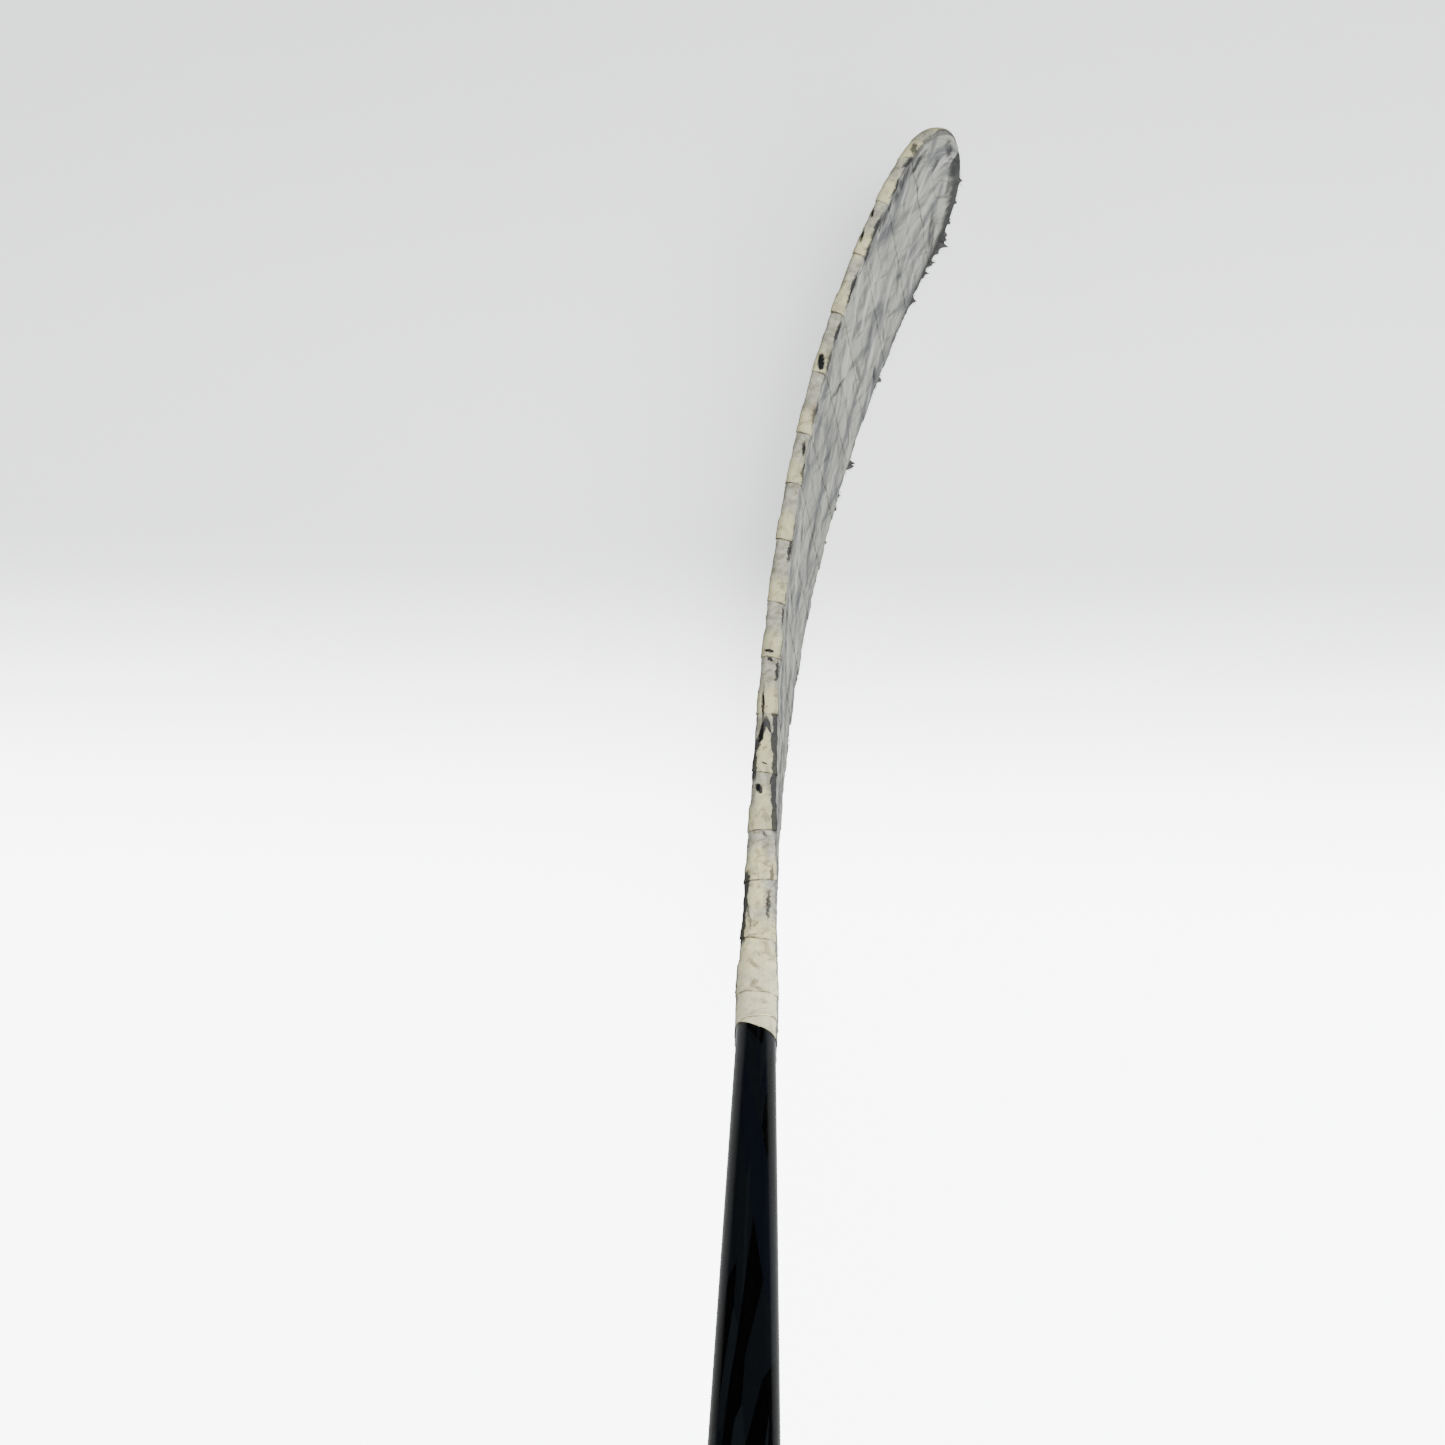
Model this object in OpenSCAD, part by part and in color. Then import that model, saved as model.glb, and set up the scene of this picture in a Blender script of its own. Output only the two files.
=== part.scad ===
// Ice hockey stick, left-handed, standing in its playing position.
// +X runs along the ice from heel to toe, +Z is up, and the forehand face looks towards -Y.
// The origin is the heel point, where the back line of the shaft meets the ice.
// The moulded blade plugs into a hollow carbon shaft, and cloth tape is wound over both ends.

/* [Shaft] */
// Heel point to butt end, along the shaft
stick_len = 1480; // [1250:5:1600]
// Angle between the shaft and the ice
lie = 45; // [42:0.5:48]
// Wide side of the straight shaft
shaft_w = 30; // [28:0.5:32]
// Narrow side of the straight shaft
shaft_t = 20; // [18:0.5:22]
// Wall thickness of the carbon tube
wall = 1.6; // [1.2:0.1:2.2]
// Radius of the long corners of the shaft
corner_r = 4.5; // [3:0.5:4.5]
// Length of the taper above the hosel
taper_len = 190; // [120:5:260]

/* [Hosel] */
// Wide side where the shaft meets the blade
hosel_w = 27; // [25:0.5:29]
// Narrow side where the shaft meets the blade
hosel_t = 12.8; // [12:0.1:15]
// Radius between the shaft and the top edge of the blade
throat_r = 55; // [35:1:60]
// Radius of the heel
heel_r = 28; // [15:1:35]
// Length of the tenon inside the shaft
tenon_len = 60; // [40:1:80]

/* [Blade] */
// Heel point to toe, along the ice
blade_len = 289; // [275:1:300]
// Height of the top edge above the heel point
heel_h = 63; // [58:0.5:66]
// Rise of the top edge, in mm for each mm towards the toe
top_rise = 0.045; // [0.02:0.005:0.06]
// Bare thickness at the toe
toe_t = 3.6; // [3.4:0.1:5]
// Length of the rounded toe
toe_len = 38; // [30:1:45]
// Sideways curve of the top edge, in mm at 100 mm from the heel
curve_depth = 2.9; // [1:0.1:4]
// How sharply the curve grows towards the toe
curve_power = 2.8; // [2:0.1:3.2]
// How far the face leans open at the toe, in degrees
toe_loft = 14; // [0:0.5:16]
// Thickness of each face laminate
skin_t = 0.9; // [0.6:0.1:1.2]
// Width of the solid laminate rails round the core
rail_w = 5.5; // [5:0.5:8]

/* [Tape] */
// Thickness of the wound tape on the blade, where laps overlap
tape_t = 0.7; // [0.6:0.05:1.2]
// Distance between tape edges near the heel
heel_pitch = 20; // [16:1:22]
// Distance between tape edges over the rest of the blade
blade_pitch = 20.5; // [16:0.5:22]
// Length of the grip tape below the knob
grip_len = 190; // [100:5:300]
// Thickness of the grip tape
grip_t = 0.8; // [0.4:0.1:1.2]
// Width of the knob at the butt end
knob_len = 26; // [20:1:40]
// Height of the knob above the shaft
knob_h = 4.5; // [2:0.5:7]

/* [Hidden] */

$fn = 48;

carbon_black = [0.03, 0.035, 0.045];
raw_carbon = [0.12, 0.12, 0.13];
foam_cream = [0.86, 0.82, 0.68];
epoxy_amber = [0.72, 0.62, 0.38];
rubber_black = [0.06, 0.06, 0.06];
tape_white = [0.74, 0.74, 0.70];
tape_aged = [0.80, 0.78, 0.66];

// Stations along the stick. A place on the lower stick has one coordinate, q, in mm: q is X on the
// blade, and it runs on through the hosel and up the shaft as a negative number.
ice_gap = tape_t;            // the bare sole stands this far above the ice, on its tape
hosel_s = 100;               // distance up the shaft where the hosel starts to flare
blade_q = 40;                // from here to the toe the sections stand square to the ice
hosel_run = 112;             // length of the hosel along its middle
hosel_q = blade_q - hosel_run;
straight_s = hosel_s + taper_len;
joint_q = hosel_q - 5;       // the mouth of the shaft, where the blade butts against it
toe_q = blade_len - toe_len; // the toe starts to round off here
core_end_q = blade_len - 9;  // the cores stop here, and the toe is solid laminate beyond
toe_power = 2.4;             // 2 would be an ellipse, and more is squarer
toe_tip = 88;                // the last section of the toe, in degrees round its quarter turn
rocker_q = 200;              // the sole lifts off the ice from here to the toe
rocker_rise = 1;             // lift of the sole where the toe starts to round off
loft_start = -64;
loft_end = 236;
curve_start = -4;
taper_x = 85;                // the blade thins towards the toe over about this length
sleeve_t = 0.4;              // carbon sleeve over the joint, let in flush
sleeve_len = 50;
bond_t = 0.3;                // film of epoxy round the tenon
edge_share = 0.36;           // corner radius of the blade's edges, as a share of its thickness

// ---- The line of the stick, seen from its side, as [x, z] ----

down = [cos(lie), -sin(lie)];   // along the shaft towards the ice
front = [sin(lie), cos(lie)];   // across the wide side, towards the toe

function unit(v) = v / norm(v);
function mix(a, b, f) = a + (b - a) * f;
function clamp01(f) = min(1, max(0, f));
function smooth(f) = let (c = clamp01(f)) c * c * (3 - 2 * c);

// A point at distance s up the shaft, and off in front of its centre line
function shaft_point(s, off = 0) = front * (hosel_w / 2 + off) - down * s;
function s_of(q) = hosel_s + hosel_q - q;
function q_of(s) = hosel_s + hosel_q - s;

function top_edge(x) = heel_h + top_rise * x;
function sole_edge(x) = ice_gap + rocker_rise * pow(clamp01((x - rocker_q) / (toe_q - rocker_q)), 2);

// A path from a to b by way of corner c, rounded off to radius r, at fraction f of its length
function bend(a, c, b, r, f) =
    let (u = unit(c - a), v = unit(b - c),
         turn = acos(u * v),
         side = sign(u[0] * v[1] - u[1] * v[0]),
         n = side * [-u[1], u[0]],
         cut = r * tan(turn / 2),
         run_in = norm(c - a) - cut,
         arc = r * turn * PI / 180,
         d = f * (run_in + arc + norm(b - c) - cut),
         swept = (d - run_in) / r * 180 / PI)
    d < run_in ? a + u * d
    : d < run_in + arc ? c - u * cut + u * r * sin(swept) + n * r * (1 - cos(swept))
    : c + v * (cut + d - run_in - arc);

// The throat, where the front of the shaft would meet the top edge
throat_s = (heel_h + top_rise * hosel_w * front[0] - hosel_w * front[1]) / (sin(lie) + top_rise * cos(lie));
throat = shaft_point(throat_s, hosel_w / 2);
heel = [-ice_gap / tan(lie), ice_gap];

function width_at(s) = mix(hosel_w, shaft_w, clamp01((s - hosel_s) / taper_len));
function hosel_share(q) = (q - hosel_q) / hosel_run;
function toe_bulge(q) = pow(1 - pow(clamp01((q - toe_q) / toe_len), toe_power), 1 / toe_power);

function top_rail_at(q) =
    q < hosel_q ? shaft_point(s_of(q), width_at(s_of(q)) / 2)
    : q < blade_q ? bend(shaft_point(hosel_s, hosel_w / 2), throat, [blade_q, top_edge(blade_q)],
                         throat_r, hosel_share(q))
    : q < toe_q ? [q, top_edge(q)]
    : [q, mix((top_edge(toe_q) + sole_edge(toe_q)) / 2, top_edge(toe_q), toe_bulge(q))];

function sole_rail_at(q) =
    q < hosel_q ? shaft_point(s_of(q), -width_at(s_of(q)) / 2)
    : q < blade_q ? bend(shaft_point(hosel_s, -hosel_w / 2), heel, [blade_q, ice_gap], heel_r, hosel_share(q))
    : q < toe_q ? [q, sole_edge(q)]
    : [q, mix((top_edge(toe_q) + sole_edge(toe_q)) / 2, sole_edge(toe_q), toe_bulge(q))];

// ---- Sideways shape ----

function loft_at(x) = toe_loft * smooth((x - loft_start) / (loft_end - loft_start));
function curve_at(x) = -curve_depth * pow(max(0, x - curve_start) / 100, curve_power);
function middle_y(x, z) = curve_at(x) - tan(loft_at(x)) * (top_edge(x) - z);

hosel_x = shaft_point(hosel_s)[0];
function blade_thick(x) = toe_t + (hosel_t - toe_t) / (1 + pow((x - hosel_x) / taper_x, 2));
function thick_at(q) =
    q < hosel_q ? mix(hosel_t, shaft_t, clamp01((s_of(q) - hosel_s) / taper_len))
    : blade_thick((top_rail_at(q)[0] + sole_rail_at(q)[0]) / 2);
function edge_r(q) = min(corner_r, edge_share * thick_at(q));
function height_at(q) = norm(top_rail_at(q) - sole_rail_at(q));

// The point at q, rise mm above the sole along the section and side mm towards the backhand
function place(q, rise, side) =
    let (b = sole_rail_at(q), p = b + unit(top_rail_at(q) - b) * rise)
    [p[0], middle_y(p[0], p[1]) + side, p[1]];

// ---- Sections ----

// A closed outline round the box [low, high] x [back, fore], with each corner a quarter turn of radius r
function rounded_box(low, high, right, left, r, steps = 3) =
    [for (c = [[high, left, 0], [low, left, 90], [low, right, 180], [high, right, 270]], k = [0:steps])
        let (a = c[2] + 90 * k / steps,
             rise = c[0] + (c[0] == high ? -r : r),
             side = c[1] + (c[1] == left ? -r : r))
        [rise + r * cos(a), side + r * sin(a)]];

// The whole section at q, taken in by inset all round
function section(q, inset = 0, steps = 6) =
    let (h = thick_at(q) / 2 - inset, r = max(0.3, edge_r(q) - inset))
    [for (p = rounded_box(inset, height_at(q) - inset, -h, h, r, steps)) place(q, p[0], p[1])];

// A plain four-cornered section, from low to high above the sole and from right to left
function block(q, low, high, right, left) =
    [place(q, high, left), place(q, low, left), place(q, low, right), place(q, high, right)];

function span(a, b, n) = [for (i = [0:n]) mix(a, b, i / n)];
function toe_span(n) = [for (i = [0:n]) toe_q + toe_len * sin(toe_tip * i / n)];
hosel_qs = span(joint_q, blade_q, 16);
core_qs = concat(span(blade_q, toe_q, 12),
                 [for (q = toe_span(10)) if (q > toe_q + 1 && q < core_end_q - 1) q], [core_end_q]);
blade_qs = concat(hosel_qs, [for (i = [1:len(core_qs) - 1]) core_qs[i]]);

// ---- Solids from sections ----

// Rings of points joined one to the next. A closed loop of rings makes a band, and an open one gets end caps.
module join_rings(rings, loop = false) {
    n = len(rings[0]);
    m = len(rings);
    sides = [for (i = [0:m - (loop ? 1 : 2)], j = [0:n - 1])
        let (here = i * n, next = (i + 1) % m * n, k = (j + 1) % n)
        each [[here + j, here + k, next + k], [here + j, next + k, next + j]]];
    last = (m - 1) * n;
    caps = loop ? [] : [for (j = [1:n - 2]) each [[0, j + 1, j], [last, last + j, last + j + 1]]];
    polyhedron(points = [for (r = rings) each r], faces = concat(sides, caps), convexity = 6);
}

// A tube between two skins, each a function of the stations. Stations run towards the toe.
module join_skins(outer, inner) {
    join_rings(concat(outer, [for (i = [len(inner) - 1:-1:0]) inner[i]]), loop = true);
}

// Places children on the shaft at distance s, with Z up the shaft, X to the front and Y to the backhand
module on_shaft(s) {
    p = shaft_point(s);
    translate([p[0], 0, p[1]]) rotate([0, lie - 90, 0]) children();
}

// A rounded rectangle, w along X and t along Y
module shaft_outline(w, t, r) {
    square([w - 2 * r, t], center = true);
    square([w, t - 2 * r], center = true);
    for (x = [-1, 1], y = [-1, 1])
        translate([x * (w / 2 - r), y * (t / 2 - r)]) circle(r);
}

// A length of square-cut sleeve round the straight shaft, from s to s + run, between two offsets from it
module sleeve(s, run, inner, outer) {
    on_shaft(s) linear_extrude(run) difference() {
        shaft_outline(shaft_w + 2 * outer, shaft_t + 2 * outer, corner_r + outer);
        shaft_outline(shaft_w + 2 * inner, shaft_t + 2 * inner, corner_r + inner);
    }
}

// ---- Shaft ----

module shaft_tube() {
    mouth = s_of(joint_q);
    step = mouth + sleeve_len / 2;
    upper = concat([stick_len], span(straight_s, step, 6));
    color(carbon_black) join_skins(
        concat([for (s = upper) section(q_of(s))], [for (s = [step, mouth]) section(q_of(s), sleeve_t)]),
        [for (s = concat(upper, [mouth])) section(q_of(s), wall)]);
}

plug_reach = 45;  // how far the plug goes into the shaft
plug_gap = 0.3;   // glue line round the plug
flange = 4;
module end_plug() {
    color(rubber_black) {
        on_shaft(stick_len - plug_reach) linear_extrude(plug_reach + flange / 2)
            shaft_outline(shaft_w - 2 * (wall + plug_gap), shaft_t - 2 * (wall + plug_gap), corner_r - wall);
        on_shaft(stick_len) linear_extrude(flange) shaft_outline(shaft_w, shaft_t, corner_r);
    }
}

module plug_glue() {
    color(epoxy_amber) on_shaft(stick_len - plug_reach) linear_extrude(plug_reach) difference() {
        shaft_outline(shaft_w - 2 * wall, shaft_t - 2 * wall, corner_r - wall);
        shaft_outline(shaft_w - 2 * (wall + plug_gap), shaft_t - 2 * (wall + plug_gap), corner_r - wall);
    }
}

// ---- Joint between shaft and blade ----

module blade_tenon() {
    color(raw_carbon) join_rings([for (q = span(joint_q - tenon_len, joint_q, 3)) section(q, wall + bond_t)]);
}

module tenon_bond() {
    qs = span(joint_q - tenon_len, joint_q, 3);
    color(epoxy_amber) join_skins([for (q = qs) section(q, wall)], [for (q = qs) section(q, wall + bond_t)]);
}

module joint_sleeve() {
    qs = span(joint_q - sleeve_len / 2, joint_q + sleeve_len / 2, 8);
    color(carbon_black) join_skins([for (q = qs) section(q)], [for (q = qs) section(q, sleeve_t)]);
}

// ---- Blade ----

// The sleeve is let into the blade too, so its pieces are thinner under it
sleeve_end_q = joint_q + sleeve_len / 2;
function stepped(qs) = concat([for (q = qs) if (q < sleeve_end_q - 1) [q, sleeve_t]],
                              [[sleeve_end_q, sleeve_t], [sleeve_end_q + 0.5, 0]],
                              [for (q = qs) if (q > sleeve_end_q + 1) [q, 0]]);
function inside_t(q) = thick_at(q) / 2 - sleeve_t - skin_t;

// A sheet of laminate on the forehand side (hand -1) or the backhand side (hand 1)
module face_skin(hand) {
    join_rings([for (s = stepped(blade_qs))
        let (q = s[0], near = hand * inside_t(q), far = hand * (thick_at(q) / 2 - s[1]),
             top = height_at(q) - rail_w)
        block(q, rail_w, top, min(near, far), max(near, far))]);
}

module skin_forehand() {
    color(raw_carbon) face_skin(-1);
}

module skin_backhand() {
    color(raw_carbon) face_skin(1);
}

module heel_block() {
    color(foam_cream) join_rings([for (q = hosel_qs)
        block(q, rail_w, height_at(q) - rail_w, -inside_t(q), inside_t(q))]);
}

bridge_h = 3;
function bridge_low(q) = height_at(q) / 2 - bridge_h / 2;

module core_upper() {
    color(foam_cream) join_rings([for (q = core_qs)
        block(q, bridge_low(q) + bridge_h, height_at(q) - rail_w, -inside_t(q), inside_t(q))]);
}

module core_lower() {
    color(foam_cream) join_rings([for (q = core_qs)
        block(q, rail_w, bridge_low(q), -inside_t(q), inside_t(q))]);
}

module core_bridge() {
    color(raw_carbon) join_rings([for (q = core_qs)
        block(q, bridge_low(q), bridge_low(q) + bridge_h, -inside_t(q), inside_t(q))]);
}

// One edge of the blade: square on the inside and rounded on the outside
function rail_section(q, inset, upper) =
    let (h = thick_at(q) / 2 - inset, r = max(0.3, edge_r(q) - inset), steps = 3,
         tip = upper ? height_at(q) - inset : inset,
         root = upper ? height_at(q) - rail_w : rail_w,
         lift = upper ? 1 : -1)
    [for (p = concat([[root, -lift * h]],
                     [for (k = [0:steps]) let (a = 90 * k / steps)
                         [tip - lift * r * (1 - sin(a)), -lift * (h - r + r * cos(a))]],
                     [for (k = [0:steps]) let (a = 90 - 90 * k / steps)
                         [tip - lift * r * (1 - sin(a)), lift * (h - r + r * cos(a))]],
                     [[root, lift * h]]))
        place(q, p[0], p[1])];

module top_rail() {
    color(raw_carbon) join_rings([for (s = stepped(blade_qs)) rail_section(s[0], s[1], true)]);
}

module sole_rail() {
    color(raw_carbon) join_rings([for (s = stepped(blade_qs)) rail_section(s[0], s[1], false)]);
}

module toe_cap() {
    qs = concat([core_end_q], [for (q = toe_span(10)) if (q > core_end_q + 1) q]);
    color(raw_carbon) join_rings([for (q = qs) section(q)]);
}

// ---- Blade tape ----

lap_step = 0.25;     // each tape edge stands this far above the lap before it
edge_run = 0.5;      // length over which it rises
overlap = 0.5;       // share of each lap that lies over the lap before it
first_turn = 9;      // the uncovered part of the first turn
tape_end_q = q_of(s_of(joint_q) - 3);
heel_laps = 7;
lean = 10;           // a tape edge is this much nearer the toe at the top of the blade than at the sole
fold_q = blade_len - 17;
close_q = tape_end_q + heel_laps * heel_pitch;
blade_laps = floor((fold_q - close_q) / blade_pitch);

// A closed line round the stick on the tape, off mm out from the bare surface. Its edge leans. The tape is
// worn to one thickness along the sole, so the stick stands on a flat line of it.
function tape_ring(q, off, tilt = lean) =
    [for (p = let (h = thick_at(q) / 2 + off)
              rounded_box(off > 0 ? -tape_t : 0, height_at(q) + off, -h, h, edge_r(q) + off, 3))
        let (share = clamp01(p[0] / height_at(q)), u = q + tilt * (share - 0.5))
        place(u, p[0] + share * (height_at(u) - height_at(q)), p[1])];

// A run of laps as one strip, wound from heel to toe: each tape edge rises over the lap before it, and the
// tape sinks back where the lap under it ends
module laps(start, count, pitch) {
    steps = [[edge_run / pitch, 1], [overlap, 1], [1, 0]];
    rings = concat([[start, 0]], [for (i = [0:count - 1], s = steps) [start + (i + s[0]) * pitch, s[1]]]);
    join_skins([for (r = rings) tape_ring(r[0], tape_t - lap_step * (1 - r[1]))],
               [for (r = rings) tape_ring(r[0], 0)]);
}

module tape_first_turn() {
    rings = [[tape_end_q - first_turn, -lean], [tape_end_q, lean]];
    color(tape_white) join_skins([for (r = rings) tape_ring(r[0], tape_t - 2 * lap_step, r[1])],
                                 [for (r = rings) tape_ring(r[0], 0, r[1])]);
}

module tape_heel_laps() {
    color(tape_aged) laps(tape_end_q, heel_laps, heel_pitch);
}

module tape_blade_laps() {
    color(tape_white) laps(close_q, blade_laps, blade_pitch);
}

module tape_toe_fold() {
    start = close_q + blade_laps * blade_pitch;
    qs = concat([start], [for (q = toe_span(10)) if (q > start + lean / 2 + 1) q]);
    color(tape_aged) join_rings(concat(
        [for (i = [len(qs) - 1:-1:0]) tape_ring(qs[i], 0, i == 0 ? lean : 0)],
        [for (q = qs) tape_ring(q, tape_t, q == start ? lean : 0)]));
}

// ---- Grip ----

module grip_tape() {
    color(tape_white) sleeve(stick_len - knob_len - grip_len, grip_len, 0, grip_t);
}

module knob_tape() {
    crown = 5;
    color(tape_white) {
        sleeve(stick_len - knob_len, crown, 0, knob_h * 0.6);
        sleeve(stick_len - knob_len + crown, knob_len - crown, 0, knob_h);
    }
}

shaft_tube();
end_plug();
plug_glue();
blade_tenon();
tenon_bond();
joint_sleeve();
heel_block();
skin_forehand();
skin_backhand();
core_upper();
core_lower();
core_bridge();
top_rail();
sole_rail();
toe_cap();
tape_first_turn();
tape_heel_laps();
tape_blade_laps();
tape_toe_fold();
grip_tape();
knob_tape();
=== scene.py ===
import math

import bpy
import bmesh
import numpy as np
from mathutils import Matrix, Vector


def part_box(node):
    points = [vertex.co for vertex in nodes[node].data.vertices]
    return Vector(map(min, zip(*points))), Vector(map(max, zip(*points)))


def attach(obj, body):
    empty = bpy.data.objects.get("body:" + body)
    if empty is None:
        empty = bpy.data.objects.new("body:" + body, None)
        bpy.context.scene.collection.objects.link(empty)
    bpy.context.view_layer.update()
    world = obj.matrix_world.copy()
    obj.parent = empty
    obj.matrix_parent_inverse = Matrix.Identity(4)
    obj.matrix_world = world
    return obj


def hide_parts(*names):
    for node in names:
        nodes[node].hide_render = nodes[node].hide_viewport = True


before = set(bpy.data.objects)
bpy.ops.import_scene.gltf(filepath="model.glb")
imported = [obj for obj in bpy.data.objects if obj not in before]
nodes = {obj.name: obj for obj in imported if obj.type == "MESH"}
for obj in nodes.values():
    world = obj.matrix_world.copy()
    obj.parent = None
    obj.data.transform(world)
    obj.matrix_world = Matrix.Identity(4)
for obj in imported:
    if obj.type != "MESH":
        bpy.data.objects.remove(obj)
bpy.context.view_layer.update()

# An ice hockey stick in its playing position. Shapes are worked out in mm in the frame's own axes, and turned
# to metres as each mesh is made. A place on the stick has three numbers:
#   q     mm along it: X on the blade, running on as a negative number through the hosel and up the shaft
#   v     one turn round it: 0 at the middle of the sole, up the forehand face, 0.5 at the top edge, and down
#         the backhand face
#   out   mm out from the bare surface
MM = 0.001
BODY = "root"

# ---- Sizes, mm and degrees. The two lengths come from the frame, and the rest are the CAD model's own ----
LIE = math.radians(45)
SHAFT_W, SHAFT_T, WALL, CORNER_R = 30.0, 20.0, 1.6, 4.5
TAPER = 190.0
HOSEL_W, HOSEL_T = 27.0, 12.8      # width and thickness where the shaft ends
THROAT_R, HEEL_R = 55.0, 28.0
TAPE_T = 0.7
TOP_Z, TOP_RISE = 63.0, 0.045
TOE_T, TAPER_X = 3.6, 85.0
TOE_LEN, TOE_POWER, TOE_TIP = 38.0, 2.4, 88.0
BLADE_LEN = float(round(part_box("tape_toe_fold")[1][0] / MM))
CURVE, CURVE_POWER, CURVE_START = 2.9, 2.8, -4.0
TOE_LOFT, LOFT_START, LOFT_END = 14.0, -64.0, 236.0
EDGE_SHARE = 0.36
HOSEL_S, BLADE_Q, HOSEL_RUN = 100.0, 40.0, 112.0
HOSEL_Q = BLADE_Q - HOSEL_RUN
TOE_Q = BLADE_LEN - TOE_LEN
ROCKER_Q, ROCKER_RISE = 200.0, 1.0
JOINT_S, SLEEVE_T, SLEEVE_LEN = 105.0, 0.4, 50.0
PLUG_H = 4.0
STICK_LEN = float(round((HOSEL_W - SHAFT_W) / 2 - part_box("shaft_tube")[0][0] / MM / math.cos(LIE)))


# ---- The line of the stick ----

def smooth(f):
    """0 below 0, 1 above 1, and an S-shaped rise between."""
    f = np.clip(f, 0, 1)
    return f * f * (3 - 2 * f)


def mix(a, b, f):
    """A value a share f of the way from a to b."""
    return a + (b - a) * f


def q_of(s):
    """The place of a point s mm up the shaft."""
    return HOSEL_S + HOSEL_Q - s


def shaft_point(s, off):
    """x and z of a point s mm up the shaft and off mm from its middle line, towards the top edge."""
    return np.stack([math.sin(LIE) * (HOSEL_W / 2 + off) - math.cos(LIE) * s,
                     math.cos(LIE) * (HOSEL_W / 2 + off) + math.sin(LIE) * s], -1)


def top_edge(x):
    """Height of the blade's top edge."""
    return TOP_Z + TOP_RISE * x


def sole_edge(x):
    """Height of the blade's sole, which rises a little towards the toe."""
    return TAPE_T + ROCKER_RISE * np.clip((x - ROCKER_Q) / (TOE_Q - ROCKER_Q), 0, 1) ** 2


def bend(a, c, b, r, f):
    """A path from a to b by way of corner c, rounded off to radius r, at each share f of its length."""
    u, v = (c - a) / np.linalg.norm(c - a), (b - c) / np.linalg.norm(b - c)
    turn = math.acos(u @ v)
    n = math.copysign(1, u[0] * v[1] - u[1] * v[0]) * np.array([-u[1], u[0]])
    cut = r * math.tan(turn / 2)
    run_in = np.linalg.norm(c - a) - cut
    d = (f * (run_in + r * turn + np.linalg.norm(b - c) - cut))[..., None]
    swept = (d - run_in) / r
    arc = c - u * cut + u * r * np.sin(swept) + n * r * (1 - np.cos(swept))
    after = c + v * (cut + d - run_in - r * turn)
    return np.where(d < run_in, a + u * d, np.where(d < run_in + r * turn, arc, after))


def rail(q, hand):
    """The line of the top edge (hand 1) or of the sole (hand -1) at q, as x and z."""
    s = HOSEL_S + HOSEL_Q - q
    width = mix(HOSEL_W, SHAFT_W, np.clip((s - HOSEL_S) / TAPER, 0, 1))
    up_shaft = shaft_point(s, hand * width / 2)
    start = shaft_point(np.array(HOSEL_S), hand * HOSEL_W / 2)
    if hand > 0:
        throat_s = TOP_Z + TOP_RISE * HOSEL_W * math.sin(LIE) - HOSEL_W * math.cos(LIE)
        corner = shaft_point(np.array(throat_s / (math.sin(LIE) + TOP_RISE * math.cos(LIE))), HOSEL_W / 2)
        end = np.array([BLADE_Q, top_edge(BLADE_Q)])
    else:
        corner = np.array([-TAPE_T / math.tan(LIE), TAPE_T])
        end = np.array([BLADE_Q, TAPE_T])
    along_hosel = np.clip((q - HOSEL_Q) / HOSEL_RUN, 0, 1)
    hosel = bend(start, corner, end, THROAT_R if hand > 0 else HEEL_R, along_hosel)
    along = np.clip((q - TOE_Q) / TOE_LEN, 0, 1)
    bulge = (1 - along ** TOE_POWER) ** (1 / TOE_POWER)
    edge = top_edge(q) if hand > 0 else sole_edge(q)
    middle = (top_edge(TOE_Q) + sole_edge(TOE_Q)) / 2
    blade = np.stack([q, np.where(q > TOE_Q, mix(middle, edge, bulge), edge)], -1)
    return np.where(q[..., None] < HOSEL_Q, up_shaft, np.where(q[..., None] < BLADE_Q, hosel, blade))


def middle_y(x, z):
    """How far the stick's middle plane is from Y = 0: the blade's curve, and the open lean of its face."""
    curve = -CURVE * (np.clip(x - CURVE_START, 0, None) / 100) ** CURVE_POWER
    loft = np.radians(TOE_LOFT * smooth((x - LOFT_START) / (LOFT_END - LOFT_START)))
    return curve - np.tan(loft) * (top_edge(x) - z)


def size_at(q):
    """Height, thickness and edge radius of the section at q, and its two rails."""
    low, high = rail(q, -1), rail(q, 1)
    height = np.linalg.norm(high - low, axis=-1)
    x = (low[..., 0] + high[..., 0]) / 2
    hosel_x = float(shaft_point(np.array(HOSEL_S), 0)[0])
    blade = TOE_T + (HOSEL_T - TOE_T) / (1 + ((x - hosel_x) / TAPER_X) ** 2)
    shaft = mix(HOSEL_T, SHAFT_T, np.clip((HOSEL_Q - q) / TAPER, 0, 1))
    thick = np.where(q < HOSEL_Q, shaft, blade)
    return height, thick, np.minimum(CORNER_R, EDGE_SHARE * thick), low, high


# Shares of a half turn at which the section passes from sole to corner, face, corner and top edge
ROUND = (0.008, 0.035, 0.465, 0.492, 0.5)


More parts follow.
